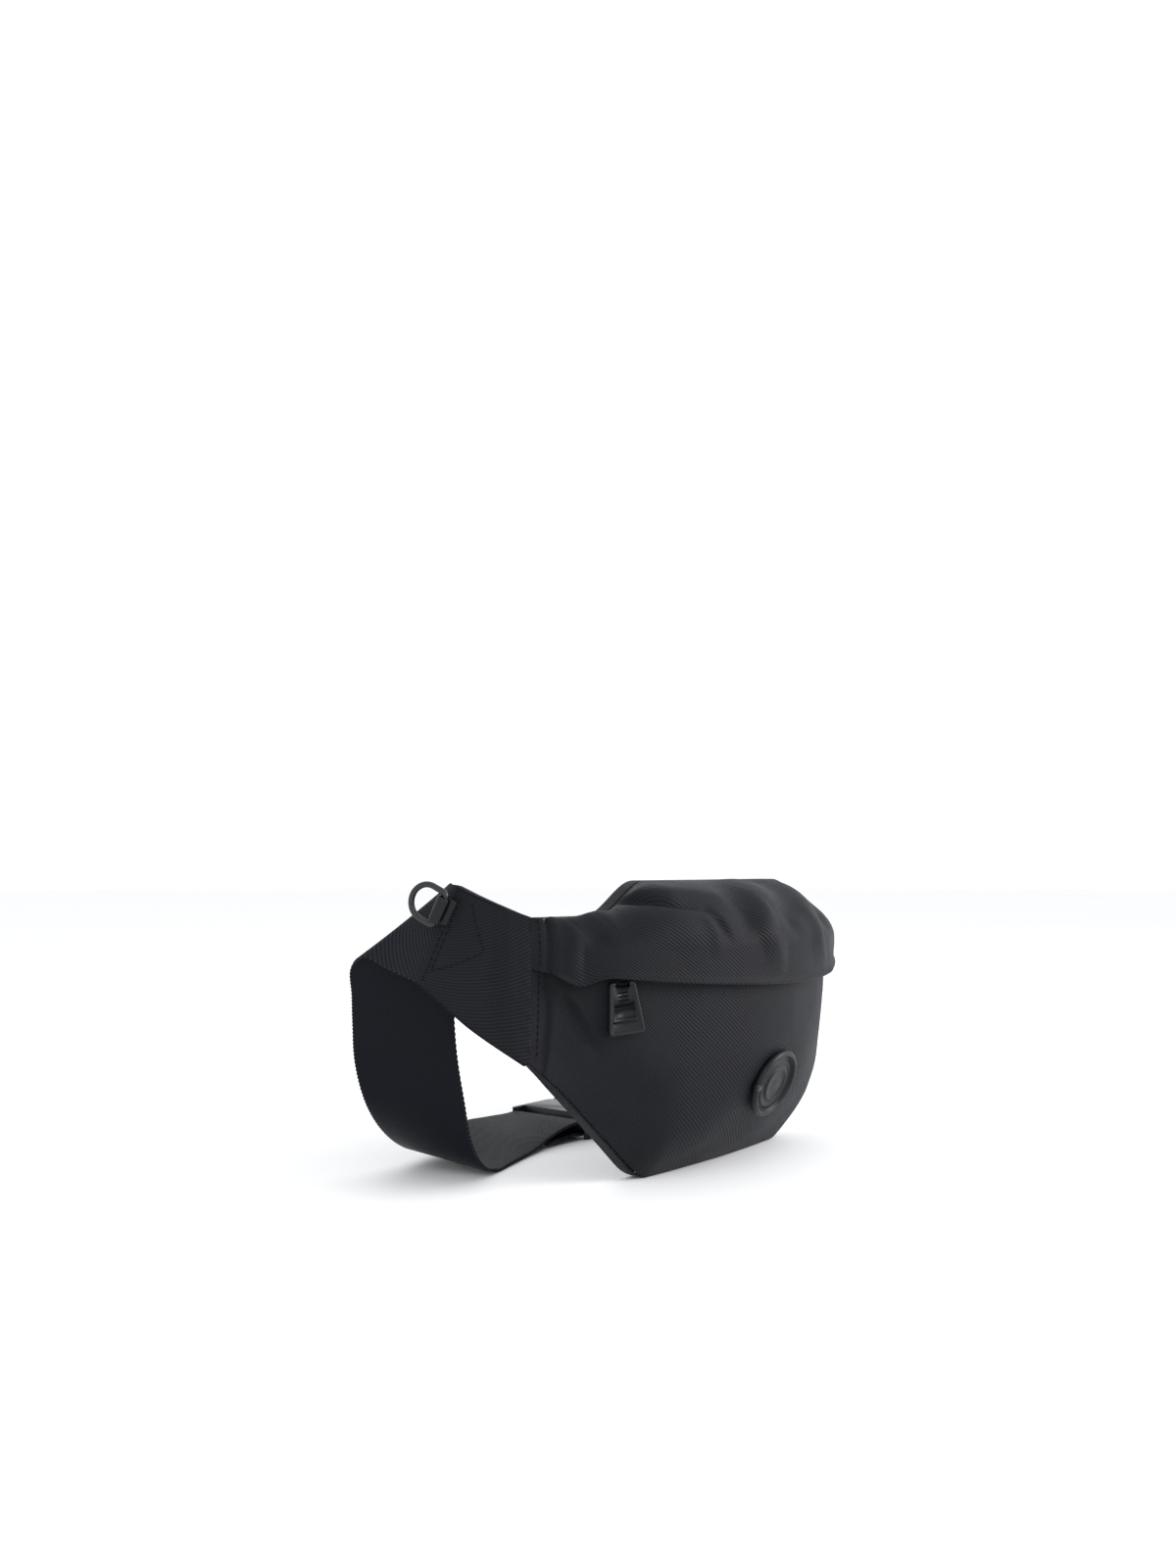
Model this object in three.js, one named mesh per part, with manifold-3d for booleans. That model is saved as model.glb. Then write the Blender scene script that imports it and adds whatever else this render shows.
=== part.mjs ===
// Waist pack: a soft zipped pouch between two padded wings, on a webbing belt that closes behind it.
//
// Millimetres. +X is the wearer's left as the front is looked at from ahead, -Y is the front of the pouch, +Z is up.
// The pack stands on the bound lower edge of its back panel and on the belt behind it.
// Places across the back are measured along its curve, from the middle: that distance is called "along".
// A place's "offset" is how far it lies in front of that curve, square to it.

import * as THREE from 'three';
import { mergeVertices } from 'three/addons/utils/BufferGeometryUtils.js';
import Module from 'manifold-3d';

const wasm = await Module();
wasm.setup();

// ---- Driving dimensions -------------------------------------------------------------------------

const FABRIC = 1.1; // coated nylon with its lining
const GAP = 0.3; // air kept between pieces that touch

const BACK = {
  frontAtMiddle: -23.3, // Y of the back's curve at the middle
  radius: 636,
  curveLength: 122, // along the back, from the middle to where the wings start to bend
  bendRadius: 34,
  bend: THREE.MathUtils.degToRad(65),
  seam: 134, // along the back, from the middle to the wing seam
};

const OUTLINE = {
  bottomHalf: 67, // half-width of the lower edge that the pack stands on
  cornerRound: 8,
  seamBottom: 62.5, // height of the lower end of the wing seam
  shoulder: 131, // height of the upper end of the wing seam
  crown: 148, // height of the top over the middle of the pouch
  crownStarts: 96, // along the back, where the shoulder begins to rise
  crownFull: 62,
};

const WING = {
  tipLow: { along: 188.3, height: 100 },
  tipHigh: { along: 165.8, height: 145 },
  droop: { left: 0, right: 10 }, // the right wing's tip hangs lower
};

const POUCH = {
  arcCentreY: 110.3, // the front is round in plan about this point on X = 0
  frontRadius: 180.8, // the lower front panel's face, at the zip
  upperRadius: 185.7, // the upper panel's face, which stands proud over the zip
  halfAngle: THREE.MathUtils.degToRad(46.5),
  edgeOffset: 6.9, // where the front's edges meet the back panel
  seamPull: 18, // even: the higher, the nearer to the wing seams the front is drawn in to them
  lowerFullness: 3.03, // how quickly the lower panel swells from its bottom edge
  upperFullness: 1.08, // 1 would make the upper panel's section a quarter ellipse
  zipEdge: 102, // top of the lower front panel
  upperEdge: 115.5, // bottom of the upper panel
  flapEdge: 96.3, // the storm flap's hem, over the middle
  flapRise: 11.3, // how much the hem rises to the wing seams
};

const LAYERS = { // offsets from the back's curve, rear face then front face
  lining: [4.5, 5.3],
  foam: [-0.7, 4.2],
  mesh: [-2.3, -1.0],
  pocket: [5.6, 6.2],
  binding: [-2.8, 5.6],
  wingOuter: [2.6, 3.6],
  wingFoam: [-0.3, 2.3],
  wingMesh: [-1.7, -0.6],
  wingWebbing: 1.3,
};

const BINDING = { thickness: 1.2, inset: 1.9 };

const ZIP = {
  height: 106,
  halfAngle: THREE.MathUtils.degToRad(37),
  sliderAngle: THREE.MathUtils.degToRad(-33.8),
  coilRadii: [POUCH.frontRadius - 2.8, POUCH.frontRadius - 0.2],
  coilNear: 0.9, // from the zip's centre line to each row of teeth
  coilFar: 2.1,
  tapeRadius: POUCH.frontRadius - 1.8,
  tape: 0.7,
  tapeWidth: 9,
};

const PULL = {
  radius: POUCH.frontRadius + 1.8, // of the cord loop and the puller's middle, about the arc centre
  pivotHeight: 99.6,
  length: 24,
  topWidth: 13,
  bottomWidth: 18.5,
  thickness: 3,
};

const BADGE = { upThePanel: 0.421, radius: 18.5, rim: 3, stand: 3.4 };

const WEBBING = { width: 50, thickness: 1.8, tuckedIn: 18 };

const D_RING = { wire: 3, width: 17, reach: 16.5, belowCorner: 12.5, beyondEdge: 1.5, lift: 3.9 };

const BUCKLE = {
  middleY: 83,
  width: 58,
  height: 12.4,
  strapBarX: -5,
  mouthX: 31,
  adjustBarX: 44,
  insertEndX: 55,
  barHalf: 1.7,
  barThickness: 3.2,
  wall: 2,
};

// ---- Materials ----------------------------------------------------------------------------------

const finish = (color, roughness, metalness = 0) => new THREE.MeshStandardMaterial({ color, roughness, metalness });
const FINISHES = {
  shell: finish(0x26272a, 0.75),
  binding: finish(0x1b1c1f, 0.8),
  mesh: finish(0x1f2023, 0.95),
  foam: finish(0x3a3b3e, 0.95),
  lining: finish(0x4a4c50, 0.8),
  webbing: finish(0x1c1e22, 0.7),
  zip: finish(0x17181a, 0.5),
  metal: finish(0x1a1b1d, 0.35, 0.9),
  rubber: finish(0x202125, 0.6),
  plastic: finish(0x17181b, 0.45),
};

const pack = new THREE.Group();

function place(name, geometry, material, parent = pack) {
  const mesh = new THREE.Mesh(geometry, material);
  mesh.name = name;
  parent.add(mesh);
  return mesh;
}

// ---- Solids from grids, outlines and booleans ----------------------------------------------------

// A closed solid between two grids of points, each (columns + 1) by (rows + 1).
function gridSolid(frontAt, rearAt, columns, rows) {
  const positions = [];
  const layer = (columns + 1) * (rows + 1);
  for (const pointAt of [frontAt, rearAt]) {
    for (let j = 0; j <= rows; j += 1) {
      for (let i = 0; i <= columns; i += 1) positions.push(...pointAt(i / columns, j / rows).toArray());
    }
  }
  const triangles = [];
  const quad = (a, b, c, d) => triangles.push(a, b, c, a, c, d);
  const at = (i, j) => j * (columns + 1) + i;
  for (let j = 0; j < rows; j += 1) {
    for (let i = 0; i < columns; i += 1) {
      const corners = [at(i, j), at(i + 1, j), at(i + 1, j + 1), at(i, j + 1)];
      quad(...corners);
      quad(...corners.map((corner) => corner + layer).reverse());
    }
  }
  const rim = [];
  for (let i = 0; i < columns; i += 1) rim.push(at(i, 0));
  for (let j = 0; j < rows; j += 1) rim.push(at(columns, j));
  for (let i = columns; i > 0; i -= 1) rim.push(at(i, rows));
  for (let j = rows; j > 0; j -= 1) rim.push(at(0, j));
  rim.forEach((corner, index) => {
    const next = rim[(index + 1) % rim.length];
    quad(next, corner, corner + layer, next + layer);
  });
  const geometry = new THREE.BufferGeometry();
  geometry.setAttribute('position', new THREE.Float32BufferAttribute(positions, 3));
  geometry.setIndex(signedVolume(positions, triangles) < 0 ? triangles.reverse() : triangles);
  return geometry;
}

function signedVolume(positions, triangles) {
  const corner = (index) => new THREE.Vector3().fromArray(positions, 3 * triangles[index]);
  let total = 0;
  for (let t = 0; t < triangles.length; t += 3) {
    total += corner(t).dot(corner(t + 1).cross(corner(t + 2))) / 6;
  }
  return total;
}

// A sheet of even thickness over a surface, from one offset along the surface's normal to another.
function thickSheet(surface, columns, rows, rearOffset, frontOffset) {
  const step = 1e-3;
  const offsetPoint = (u, v, offset) => {
    const across = surface(Math.min(u + step, 1), v).sub(surface(Math.max(u - step, 0), v));
    const up = surface(u, Math.min(v + step, 1)).sub(surface(u, Math.max(v - step, 0)));
    return surface(u, v).addScaledVector(across.cross(up).normalize(), offset);
  };
  return gridSolid(
    (u, v) => offsetPoint(u, v, frontOffset),
    (u, v) => offsetPoint(u, v, rearOffset),
    columns,
    rows,
  );
}

function toSolid(geometry) {
  const bare = geometry.clone();
  bare.deleteAttribute('normal');
  bare.deleteAttribute('uv');
  const merged = mergeVertices(bare, 1e-4);
  return new wasm.Manifold(new wasm.Mesh({
    numProp: 3,
    vertProperties: new Float32Array(merged.attributes.position.array),
    triVerts: new Uint32Array(merged.index.array),
  }));
}

function toGeometry(solid) {
  const mesh = solid.getMesh();
  const geometry = new THREE.BufferGeometry();
  geometry.setAttribute('position', new THREE.BufferAttribute(new Float32Array(mesh.vertProperties), 3));
  geometry.setIndex(new THREE.BufferAttribute(new Uint32Array(mesh.triVerts), 1));
  return geometry;
}

const box = (low, high) => new THREE.BoxGeometry(high[0] - low[0], high[1] - low[1], high[2] - low[2])
  .translate((high[0] + low[0]) / 2, (high[1] + low[1]) / 2, (high[2] + low[2]) / 2);
const boxSolid = (low, high) => toSolid(box(low, high));

function roundedRectangle(low, high, radius) {
  const shape = new THREE.Shape();
  shape.moveTo(low[0] + radius, low[1]);
  shape.lineTo(high[0] - radius, low[1]);
  shape.absarc(high[0] - radius, low[1] + radius, radius, -Math.PI / 2, 0);
  shape.lineTo(high[0], high[1] - radius);
  shape.absarc(high[0] - radius, high[1] - radius, radius, 0, Math.PI / 2);
  shape.lineTo(low[0] + radius, high[1]);
  shape.absarc(low[0] + radius, high[1] - radius, radius, Math.PI / 2, Math.PI);
  shape.lineTo(low[0], low[1] + radius);
  shape.absarc(low[0] + radius, low[1] + radius, radius, Math.PI, 1.5 * Math.PI);
  return shape;
}

const extrude = (shape, depth, curveSegments = 5) => new THREE.ExtrudeGeometry(
  shape,
  { depth, bevelEnabled: false, curveSegments },
);

// ---- The back's curve and the pack's outline -----------------------------------------------------

const { clamp, lerp, smoothstep } = THREE.MathUtils;

// A point across the back: "along" is negative on the left.
function backPoint(along, offset, height) {
  const side = along < 0 ? -1 : 1;
  const distance = Math.abs(along);
  const gentle = Math.min(distance, BACK.curveLength) / BACK.radius;
  let x = BACK.radius * Math.sin(gentle);
  let y = BACK.frontAtMiddle + BACK.radius * (1 - Math.cos(gentle));
  const bent = clamp((distance - BACK.curveLength) / BACK.bendRadius, 0, BACK.bend);
  const heading = gentle + bent;
  x += BACK.bendRadius * (Math.sin(heading) - Math.sin(gentle));
  y += BACK.bendRadius * (Math.cos(gentle) - Math.cos(heading));
  const straight = Math.max(distance - BACK.curveLength - BACK.bendRadius * BACK.bend, 0);
  x += straight * Math.cos(heading) + offset * Math.sin(heading);
  y += straight * Math.sin(heading) - offset * Math.cos(heading);
  return new THREE.Vector3(side * x, y, height);
}

const SLOPE = OUTLINE.seamBottom / (BACK.seam - OUTLINE.bottomHalf);

function lowerEdge(along) {
  const past = Math.abs(along) - OUTLINE.bottomHalf;
  const round = OUTLINE.cornerRound;
  if (past <= -round) return 0;
  return SLOPE * (past >= round ? past : (past + round) ** 2 / (4 * round));
}

function upperEdge(along) {
  const rise = 1 - smoothstep(Math.abs(along), OUTLINE.crownFull, OUTLINE.crownStarts);
  return OUTLINE.shoulder + (OUTLINE.crown - OUTLINE.shoulder) * rise;
}

// How far above the lower outline, or below the upper one, a piece starts so that it clears the binding.
const clearOfBinding = (edgeAt, along) => BINDING.inset * Math.hypot(1, edgeAt(along + 1) - edgeAt(along - 1));

// ---- Back panel ----------------------------------------------------------------------------------

function backLayer([rear, front], alongHalf = BACK.seam - 0.4, low = null, high = null) {
  const pointAt = (offset) => (u, v) => {
    const along = lerp(-alongHalf, alongHalf, u);
    const bottom = low ?? lowerEdge(along) + clearOfBinding(lowerEdge, along);
    const top = high ?? upperEdge(along) - clearOfBinding(upperEdge, along);
    return backPoint(along, offset, lerp(bottom, top, v));
  };
  return gridSolid(pointAt(front), pointAt(rear), 22, low === null ? 5 : 2);
}

place('back_lining', backLayer(LAYERS.lining), FINISHES.lining);
place('back_foam', backLayer(LAYERS.foam), FINISHES.foam);
place('back_mesh', backLayer(LAYERS.mesh), FINISHES.mesh);
place('inner_pocket', backLayer(LAYERS.pocket, 70, 20, 86), FINISHES.lining);

// Tape that binds the back panel's edge, along the lower or the upper outline.
function bindingTape(edgeAt, inward) {
  const [rear, front] = LAYERS.binding;
  const pointAt = (thickness) => (u, v) => {
    const along = lerp(-BACK.seam, BACK.seam, u);
    const slope = edgeAt(along + 0.5) - edgeAt(along - 0.5);
    const length = Math.hypot(1, slope);
    const moved = along - (inward * thickness * slope) / length;
    return backPoint(moved, lerp(rear, front, v), edgeAt(along) + (inward * thickness) / length);
  };
  return gridSolid(pointAt(0), pointAt(BINDING.thickness), 40, 1);
}

place('lower_binding', bindingTape(lowerEdge, 1), FINISHES.binding);
place('upper_binding', bindingTape(upperEdge, -1), FINISHES.binding);

// ---- Pouch ---------------------------------------------------------------------------------------

// A point at an angle round the pouch's arc, seen in plan, from the middle of the front.
const arcPoint = (angle, radius, height) => new THREE.Vector3(
  radius * Math.sin(angle),
  POUCH.arcCentreY - radius * Math.cos(angle),
  height,
);

// A point of the pouch's skin: swell is 0 at the back panel and 1 at the full depth of the front.
function skinPoint(across, swell, radius, height) {
  const edge = backPoint(BACK.seam * across, POUCH.edgeOffset, height);
  const freeOfSeam = 1 - across ** POUCH.seamPull;
  return edge.lerp(arcPoint(POUCH.halfAngle * across, radius, height), swell * freeOfSeam);
}

function lowerSkin(u, v) {
  const across = lerp(-1, 1, u);
  const along = BACK.seam * across;
  const bottom = lowerEdge(along) + clearOfBinding(lowerEdge, along);
  const swell = 1 - (1 - v) ** POUCH.lowerFullness;
  return skinPoint(across, swell, POUCH.frontRadius, lerp(bottom, POUCH.zipEdge, v));
}

function upperSkin(u, v) {
  const across = lerp(-1, 1, u);
  const rise = POUCH.upperEdge + (upperEdge(BACK.seam * across) - POUCH.upperEdge)
    * Math.sin((v * Math.PI) / 2) ** POUCH.upperFullness;
  const swell = Math.cos((Math.min(v, 0.9999) * Math.PI) / 2) ** POUCH.upperFullness;
  return skinPoint(across, swell, POUCH.upperRadius, rise);
}

place('front_panel', thickSheet(lowerSkin, 26, 8, -FABRIC, 0), FINISHES.shell);
place('upper_panel', thickSheet(upperSkin, 26, 7, -FABRIC, 0), FINISHES.shell);

function flapPoint(radius) {
  return (u, v) => {
    const across = lerp(-0.985, 0.985, u);
    const hem = POUCH.flapEdge + POUCH.flapRise * across ** 2;
    return skinPoint(across, 1, radius, lerp(hem, POUCH.upperEdge - GAP, v));
  };
}

place('zip_flap', gridSolid(
  flapPoint(POUCH.upperRadius),
  flapPoint(POUCH.upperRadius - 1),
  26,
  2,
), FINISHES.shell);

// ---- Zip -----------------------------------------------------------------------------------------

// A bar that follows the pouch's arc, with its section leaning from one radius to another.
function arcBar([startAngle, endAngle], [rearBottom, frontBottom], [bottom, top], lean = 0, columns = 20) {
  const pointAt = (radius) => (u, v) => arcPoint(
    lerp(startAngle, endAngle, u),
    radius + lean * v,
    lerp(bottom, top, v),
  );
  return gridSolid(pointAt(frontBottom), pointAt(rearBottom), columns, 1);
}

const zipSpan = [-ZIP.halfAngle, ZIP.halfAngle];
const tapeLean = { lower: 0.8, upper: 4.2 };
const tapeRadii = (middleRadius) => [middleRadius - ZIP.tape / 2, middleRadius + ZIP.tape / 2];
const lowerTeeth = [ZIP.height - ZIP.coilFar, ZIP.height - ZIP.coilNear];
const upperTeeth = [ZIP.height + ZIP.coilNear, ZIP.height + ZIP.coilFar];
const lowerTape = [lowerTeeth[0] - GAP - ZIP.tapeWidth, lowerTeeth[0] - GAP];
const upperTape = [upperTeeth[1] + GAP, upperTeeth[1] + GAP + ZIP.tapeWidth];

place('zip_teeth_lower', arcBar(zipSpan, ZIP.coilRadii, lowerTeeth), FINISHES.zip);
place('zip_teeth_upper', arcBar(zipSpan, ZIP.coilRadii, upperTeeth), FINISHES.zip);
const lowerTapeRadii = tapeRadii(ZIP.tapeRadius - tapeLean.lower);
place('zip_tape_lower', arcBar(zipSpan, lowerTapeRadii, lowerTape, tapeLean.lower), FINISHES.zip);
place('zip_tape_upper', arcBar(zipSpan, tapeRadii(ZIP.tapeRadius), upperTape, tapeLean.upper), FINISHES.zip);

for (const [name, side] of [['zip_stop_left', -1], ['zip_stop_right', 1]]) {
  const near = side * (ZIP.halfAngle + 0.002);
  const far = side * (ZIP.halfAngle + 0.018);
  const span = side < 0 ? [far, near] : [near, far];
  const heights = [lowerTeeth[0], upperTeeth[1]];
  place(name, arcBar(span, ZIP.coilRadii, heights, 0, 1), FINISHES.metal);
}

// Local axes at the slider: X runs along the zip, -Y points out of the pouch, Z is up.
const slider = new THREE.Group();
slider.position.set(0, POUCH.arcCentreY, 0);
slider.rotation.z = ZIP.sliderAngle;
pack.add(slider);

function sliderGeometry() {
  // Depths are measured out from the lower front panel's face.
  const block = (halfLength, rear, front, halfHeight) => boxSolid(
    [-halfLength, -POUCH.frontRadius - front, ZIP.height - halfHeight],
    [halfLength, -POUCH.frontRadius - rear, ZIP.height + halfHeight],
  );
  const frontPlate = block(5, -0.1, 0.9, 3.4);
  const rearPlate = block(5, -4.7, -3.5, 3.4);
  const bridge = block(2.5, -4.2, 0.2, 0.5);
  const loop = block(0.9, 0.6, 3.1, 2.3);
  const eye = block(2, 1.2, 2.6, 1.3);
  return toGeometry(frontPlate.add(rearPlate).add(bridge).add(loop).subtract(eye));
}

place('zip_slider', sliderGeometry(), FINISHES.metal, slider);

function cordLoopGeometry() {
  const cordRadius = 0.5;
  const halfWidth = 2.9;
  const corner = 1.3;
  const top = ZIP.height;
  const bottom = PULL.pivotHeight;
  const corners = [[-1, bottom, Math.PI], [1, bottom, 1.5 * Math.PI], [1, top, 0], [-1, top, 0.5 * Math.PI]];
  const points = corners.flatMap(([side, height, startAngle]) => [0, 1, 2, 3].map((step) => {
    const angle = startAngle + (step * Math.PI) / 6;
    const inward = height === bottom ? corner : -corner;
    return new THREE.Vector3(
      side * (halfWidth - corner) + corner * Math.cos(angle),
      -PULL.radius,
      height + inward + corner * Math.sin(angle),
    );
  }));
  const rings = points.length;
  const sides = 8;
  const positions = [];
  const triangles = [];
  points.forEach((point, index) => {
    const along = points[(index + 1) % rings].clone().sub(points[(index + rings - 1) % rings]).normalize();
    const outOfPlane = new THREE.Vector3(0, 1, 0);
    const inPlane = new THREE.Vector3().crossVectors(along, outOfPlane);
    for (let side = 0; side < sides; side += 1) {
      const angle = (2 * Math.PI * side) / sides;
      const rim = point.clone()
        .addScaledVector(outOfPlane, cordRadius * Math.cos(angle))
        .addScaledVector(inPlane, cordRadius * Math.sin(angle));
      positions.push(...rim.toArray());
      const next = (side + 1) % sides;
      const here = index * sides;
      const ahead = ((index + 1) % rings) * sides;
      triangles.push(here + side, here + next, ahead + next, here + side, ahead + next, ahead + side);
    }
  });
  const geometry = new THREE.BufferGeometry();
  geometry.setAttribute('position', new THREE.Float32BufferAttribute(positions, 3));
  geometry.setIndex(signedVolume(positions, triangles) < 0 ? triangles.reverse() : triangles);
  return geometry;
}

place('pull_cord', cordLoopGeometry(), FINISHES.webbing, slider);

// The rubber puller: it turns on the lower run of the cord loop.
function pullerGeometry() {
  const half = PULL.thickness / 2;
  const outline = new THREE.Shape();
  outline.moveTo(-PULL.topWidth / 2, 0);
  outline.lineTo(-PULL.bottomWidth / 2, 2 - PULL.length);
  outline.quadraticCurveTo(-PULL.bottomWidth / 2, -PULL.length, 2 - PULL.bottomWidth / 2, -PULL.length);
  outline.lineTo(PULL.bottomWidth / 2 - 2, -PULL.length);
  outline.quadraticCurveTo(PULL.bottomWidth / 2, -PULL.length, PULL.bottomWidth / 2, 2 - PULL.length);
  outline.lineTo(PULL.topWidth / 2, 0);
  const body = toSolid(extrude(outline, PULL.thickness, 3).rotateX(Math.PI / 2).translate(0, half, 0));
  const round = new THREE.CylinderGeometry(half, half, PULL.topWidth, 20).rotateZ(Math.PI / 2);
  const bore = new THREE.CylinderGeometry(0.75, 0.75, 8, 12).rotateZ(Math.PI / 2);
  const recess = boxSolid([-5.6, -half - 1, 7.5 - PULL.length], [5.6, 1.1 - half, 12.5 - PULL.length]);
  const notches = [-1, 1].map((side) => boxSolid(
    [Math.min(side * 1.3, side * 3.9), -5, -2.6],
    [Math.max(side * 1.3, side * 3.9), 5, 5],
  ));
  return toGeometry(
    body.add(toSolid(round)).subtract(toSolid(bore)).subtract(recess).subtract(notches[0]).subtract(notches[1]),
  );
}

place('zip_puller', pullerGeometry(), FINISHES.rubber, slider).position.set(0, -PULL.radius, PULL.pivotHeight);

// ---- Badge ---------------------------------------------------------------------------------------

// Local axes at the badge: Z points out of the lower front panel.
const badge = new THREE.Group();
const nudge = 0.01;
const panelUp = lowerSkin(0.5, BADGE.upThePanel + nudge).sub(lowerSkin(0.5, BADGE.upThePanel - nudge));
const panelAcross = lowerSkin(0.5 + nudge, BADGE.upThePanel).sub(lowerSkin(0.5 - nudge, BADGE.upThePanel));
badge.position.copy(lowerSkin(0.5, BADGE.upThePanel));
badge.quaternion.setFromUnitVectors(new THREE.Vector3(0, 0, 1), panelAcross.cross(panelUp).normalize());
pack.add(badge);

const turned = (points, segments) => new THREE.LatheGeometry(
  points.map(([radius, height]) => new THREE.Vector2(radius, height)),
  segments,
).rotateX(Math.PI / 2);

const innerRim = BADGE.radius - BADGE.rim;
place('badge_rim', turned([
  [innerRim, 0.5], [BADGE.radius, 0.5], [BADGE.radius, 2.4], [BADGE.radius - 1, BADGE.stand],
  [innerRim + 0.8, BADGE.stand], [innerRim, 2.4], [innerRim, 0.5],
], 28), FINISHES.rubber, badge);
place('badge_face', turned([
  [0, 0.5], [innerRim - GAP, 0.5], [innerRim - GAP, 1.6], [innerRim - 4, 2.2], [6, 2.7], [0, 2.9],
], 28), FINISHES.rubber, badge);

// ---- Wings ---------------------------------------------------------------------------------------

const SIDES = [['left', -1], ['right', 1]];

// A point of a wing: out is 0 at the seam and 1 at the tip, up is 0 at its lower edge and 1 at its upper.
function wingPoint(side, out, up, offset) {
  const rootAlong = BACK.seam + 0.4;
  const along = lerp(lerp(rootAlong, WING.tipLow.along, out), lerp(rootAlong, WING.tipHigh.along, out), up);
  const low = lerp(OUTLINE.seamBottom, WING.tipLow.height, out);
  const high = lerp(OUTLINE.shoulder, WING.tipHigh.height, out);
  const droop = (side < 0 ? WING.droop.left : WING.droop.right) * out ** 1.5;
  return backPoint(side * along, offset, lerp(low, high, up) - droop);
}

function wingLayer(side, [rear, front], from = 0, to = 1) {
  const pointAt = (offset) => (u, v) => wingPoint(side, lerp(from, to, u), v, offset);
  return gridSolid(pointAt(front), pointAt(rear), 8, 4);
}

for (const [name, side] of SIDES) {
  place(`wing_${name}_outer`, wingLayer(side, LAYERS.wingOuter), FINISHES.shell);
  place(`wing_${name}_foam`, wingLayer(side, LAYERS.wingFoam, 0, 0.5), FINISHES.foam);
  place(`wing_${name}_mesh`, wingLayer(side, LAYERS.wingMesh), FINISHES.mesh);
}

// ---- Belt ----------------------------------------------------------------------------------------

// A ribbon of webbing through pairs of points, one on each selvedge.
function ribbon(pairs) {
  const selvedges = [0, 1].map((edge) => new THREE.CatmullRomCurve3(pairs.map((pair) => pair[edge])));
  const surface = (u, v) => selvedges[0].getPoint(u).lerp(selvedges[1].getPoint(u), v);
  return thickSheet(surface, 3 * (pairs.length - 1), 2, -WEBBING.thickness / 2, WEBBING.thickness / 2);
}

// The belt inside the wing and at its end, as pairs of selvedge points.
function tuckedPairs(side) {
  const tip = (out, up) => wingPoint(side, out, up, LAYERS.wingWebbing);
  const inner = 1 - WEBBING.tuckedIn / WEBBING.width;
  return [inner, (1 + inner) / 2, 1].map((out) => [tip(out, 1), tip(out, 0)]);
}

// The belt from the wing's end to the floor: it turns back over a slanting fold, drops behind the wing
// and turns in along the floor. Upper selvedge first; written for the left, mirrored for the right.
const HANGING = [
  [[-148.6, 25, 145.5], [-158.8, 56, 105.5]],
  [[-144, 30, 145.7], [-162, 70, 111]],
  [[-138, 32.5, 139.5], [-162.3, 79, 105.5]],
  [[-135, 36, 117], [-161, 79.5, 92]],
  [[-133.5, 38.5, 92], [-160.6, 79, 77]],
  [[-132, 38, 66], [-159.5, 78.5, 60]],
  [[-128, 36.5, 41], [-153.5, 78.5, 41.5]],
  [[-120.5, 37.5, 18], [-141, 81.5, 26]],
  [[-111.5, 37.5, 5.5], [-125, 84.5, 14]],
];

const ON_FLOOR = [
  [[-99, 40, 1.4], [-107, 88.5, 7.5]],
  [[-78, 46.5, 1.4], [-82, 95.5, 9]],
  [[-54, 53.5, 2.2], [-56, 103, 11.5]],
];

const toPair = ([near, far], mirror = 1, lift = 0) => [near, far].map(
  ([x, y, z]) => new THREE.Vector3(mirror * x, y, z + lift),
);

const nearY = BUCKLE.middleY - WEBBING.width / 2;
const farY = BUCKLE.middleY + WEBBING.width / 2;
const flatPair = (x, nearZ, farZ = nearZ) => [
  new THREE.Vector3(x, nearY, nearZ),
  new THREE.Vector3(x, farY, farZ),
];

// Half a turn of webbing round a bar of the buckle, from its top to its underside.
function turnRound(barX, side) {
  const radius = 3.4;
  return [0, 1, 2, 3, 4].map((step) => {
    const angle = (step * Math.PI) / 4;
    return flatPair(barX + side * radius * Math.sin(angle), BUCKLE.height / 2 + radius * Math.cos(angle));
  });
}

place('strap_left', ribbon([
  ...tuckedPairs(-1),
  ...HANGING.map((pair) => toPair(pair)),
  ...ON_FLOOR.map((pair) => toPair(pair)),
  flatPair(-32, 6.3, 10),
  flatPair(-15, 9.5),
  ...turnRound(BUCKLE.strapBarX, 1),
  flatPair(-15, 3.4, 4),
  flatPair(-36, 2.2, 6.6),
]), FINISHES.webbing);

// The right side of the belt is adjustable: it turns round the buckle's bar, and its tail lies under it.
const onTail = ([near, far], nearZ, farZ) => toPair([[near[0], near[1], nearZ], [far[0], far[1], farZ]], -1);
place('strap_right', ribbon([
  ...tuckedPairs(1),
  ...HANGING.map((pair, index) => toPair(pair, -1, index < 3 ? -WING.droop.right : 3 * (index / 8) ** 2)),
  ...ON_FLOOR.slice(0, 2).map((pair) => onTail(pair, 6, 10.5)),
  flatPair(62, 9.4, 10.4),
  ...turnRound(BUCKLE.adjustBarX, -1),
  flatPair(58, 2.6, 3),
  ...ON_FLOOR.slice(0, 2).reverse().map((pair) => onTail(pair, 3.4, 7.9)),
]), FINISHES.webbing);

// ---- D-ring on the left wing ---------------------------------------------------------------------

const tipHigh = wingPoint(-1, 1, 1, LAYERS.wingOuter[1]);
const tipLow = wingPoint(-1, 1, 0, LAYERS.wingOuter[1]);
const edgeUp = tipHigh.clone().sub(tipLow).normalize();
const wingOut = wingPoint(-1, 1, 0.5, 0).sub(wingPoint(-1, 0.9, 0.5, 0));
const outward = new THREE.Vector3().crossVectors(edgeUp, wingOut).normalize();
wingOut.crossVectors(outward, edgeUp);

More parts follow.
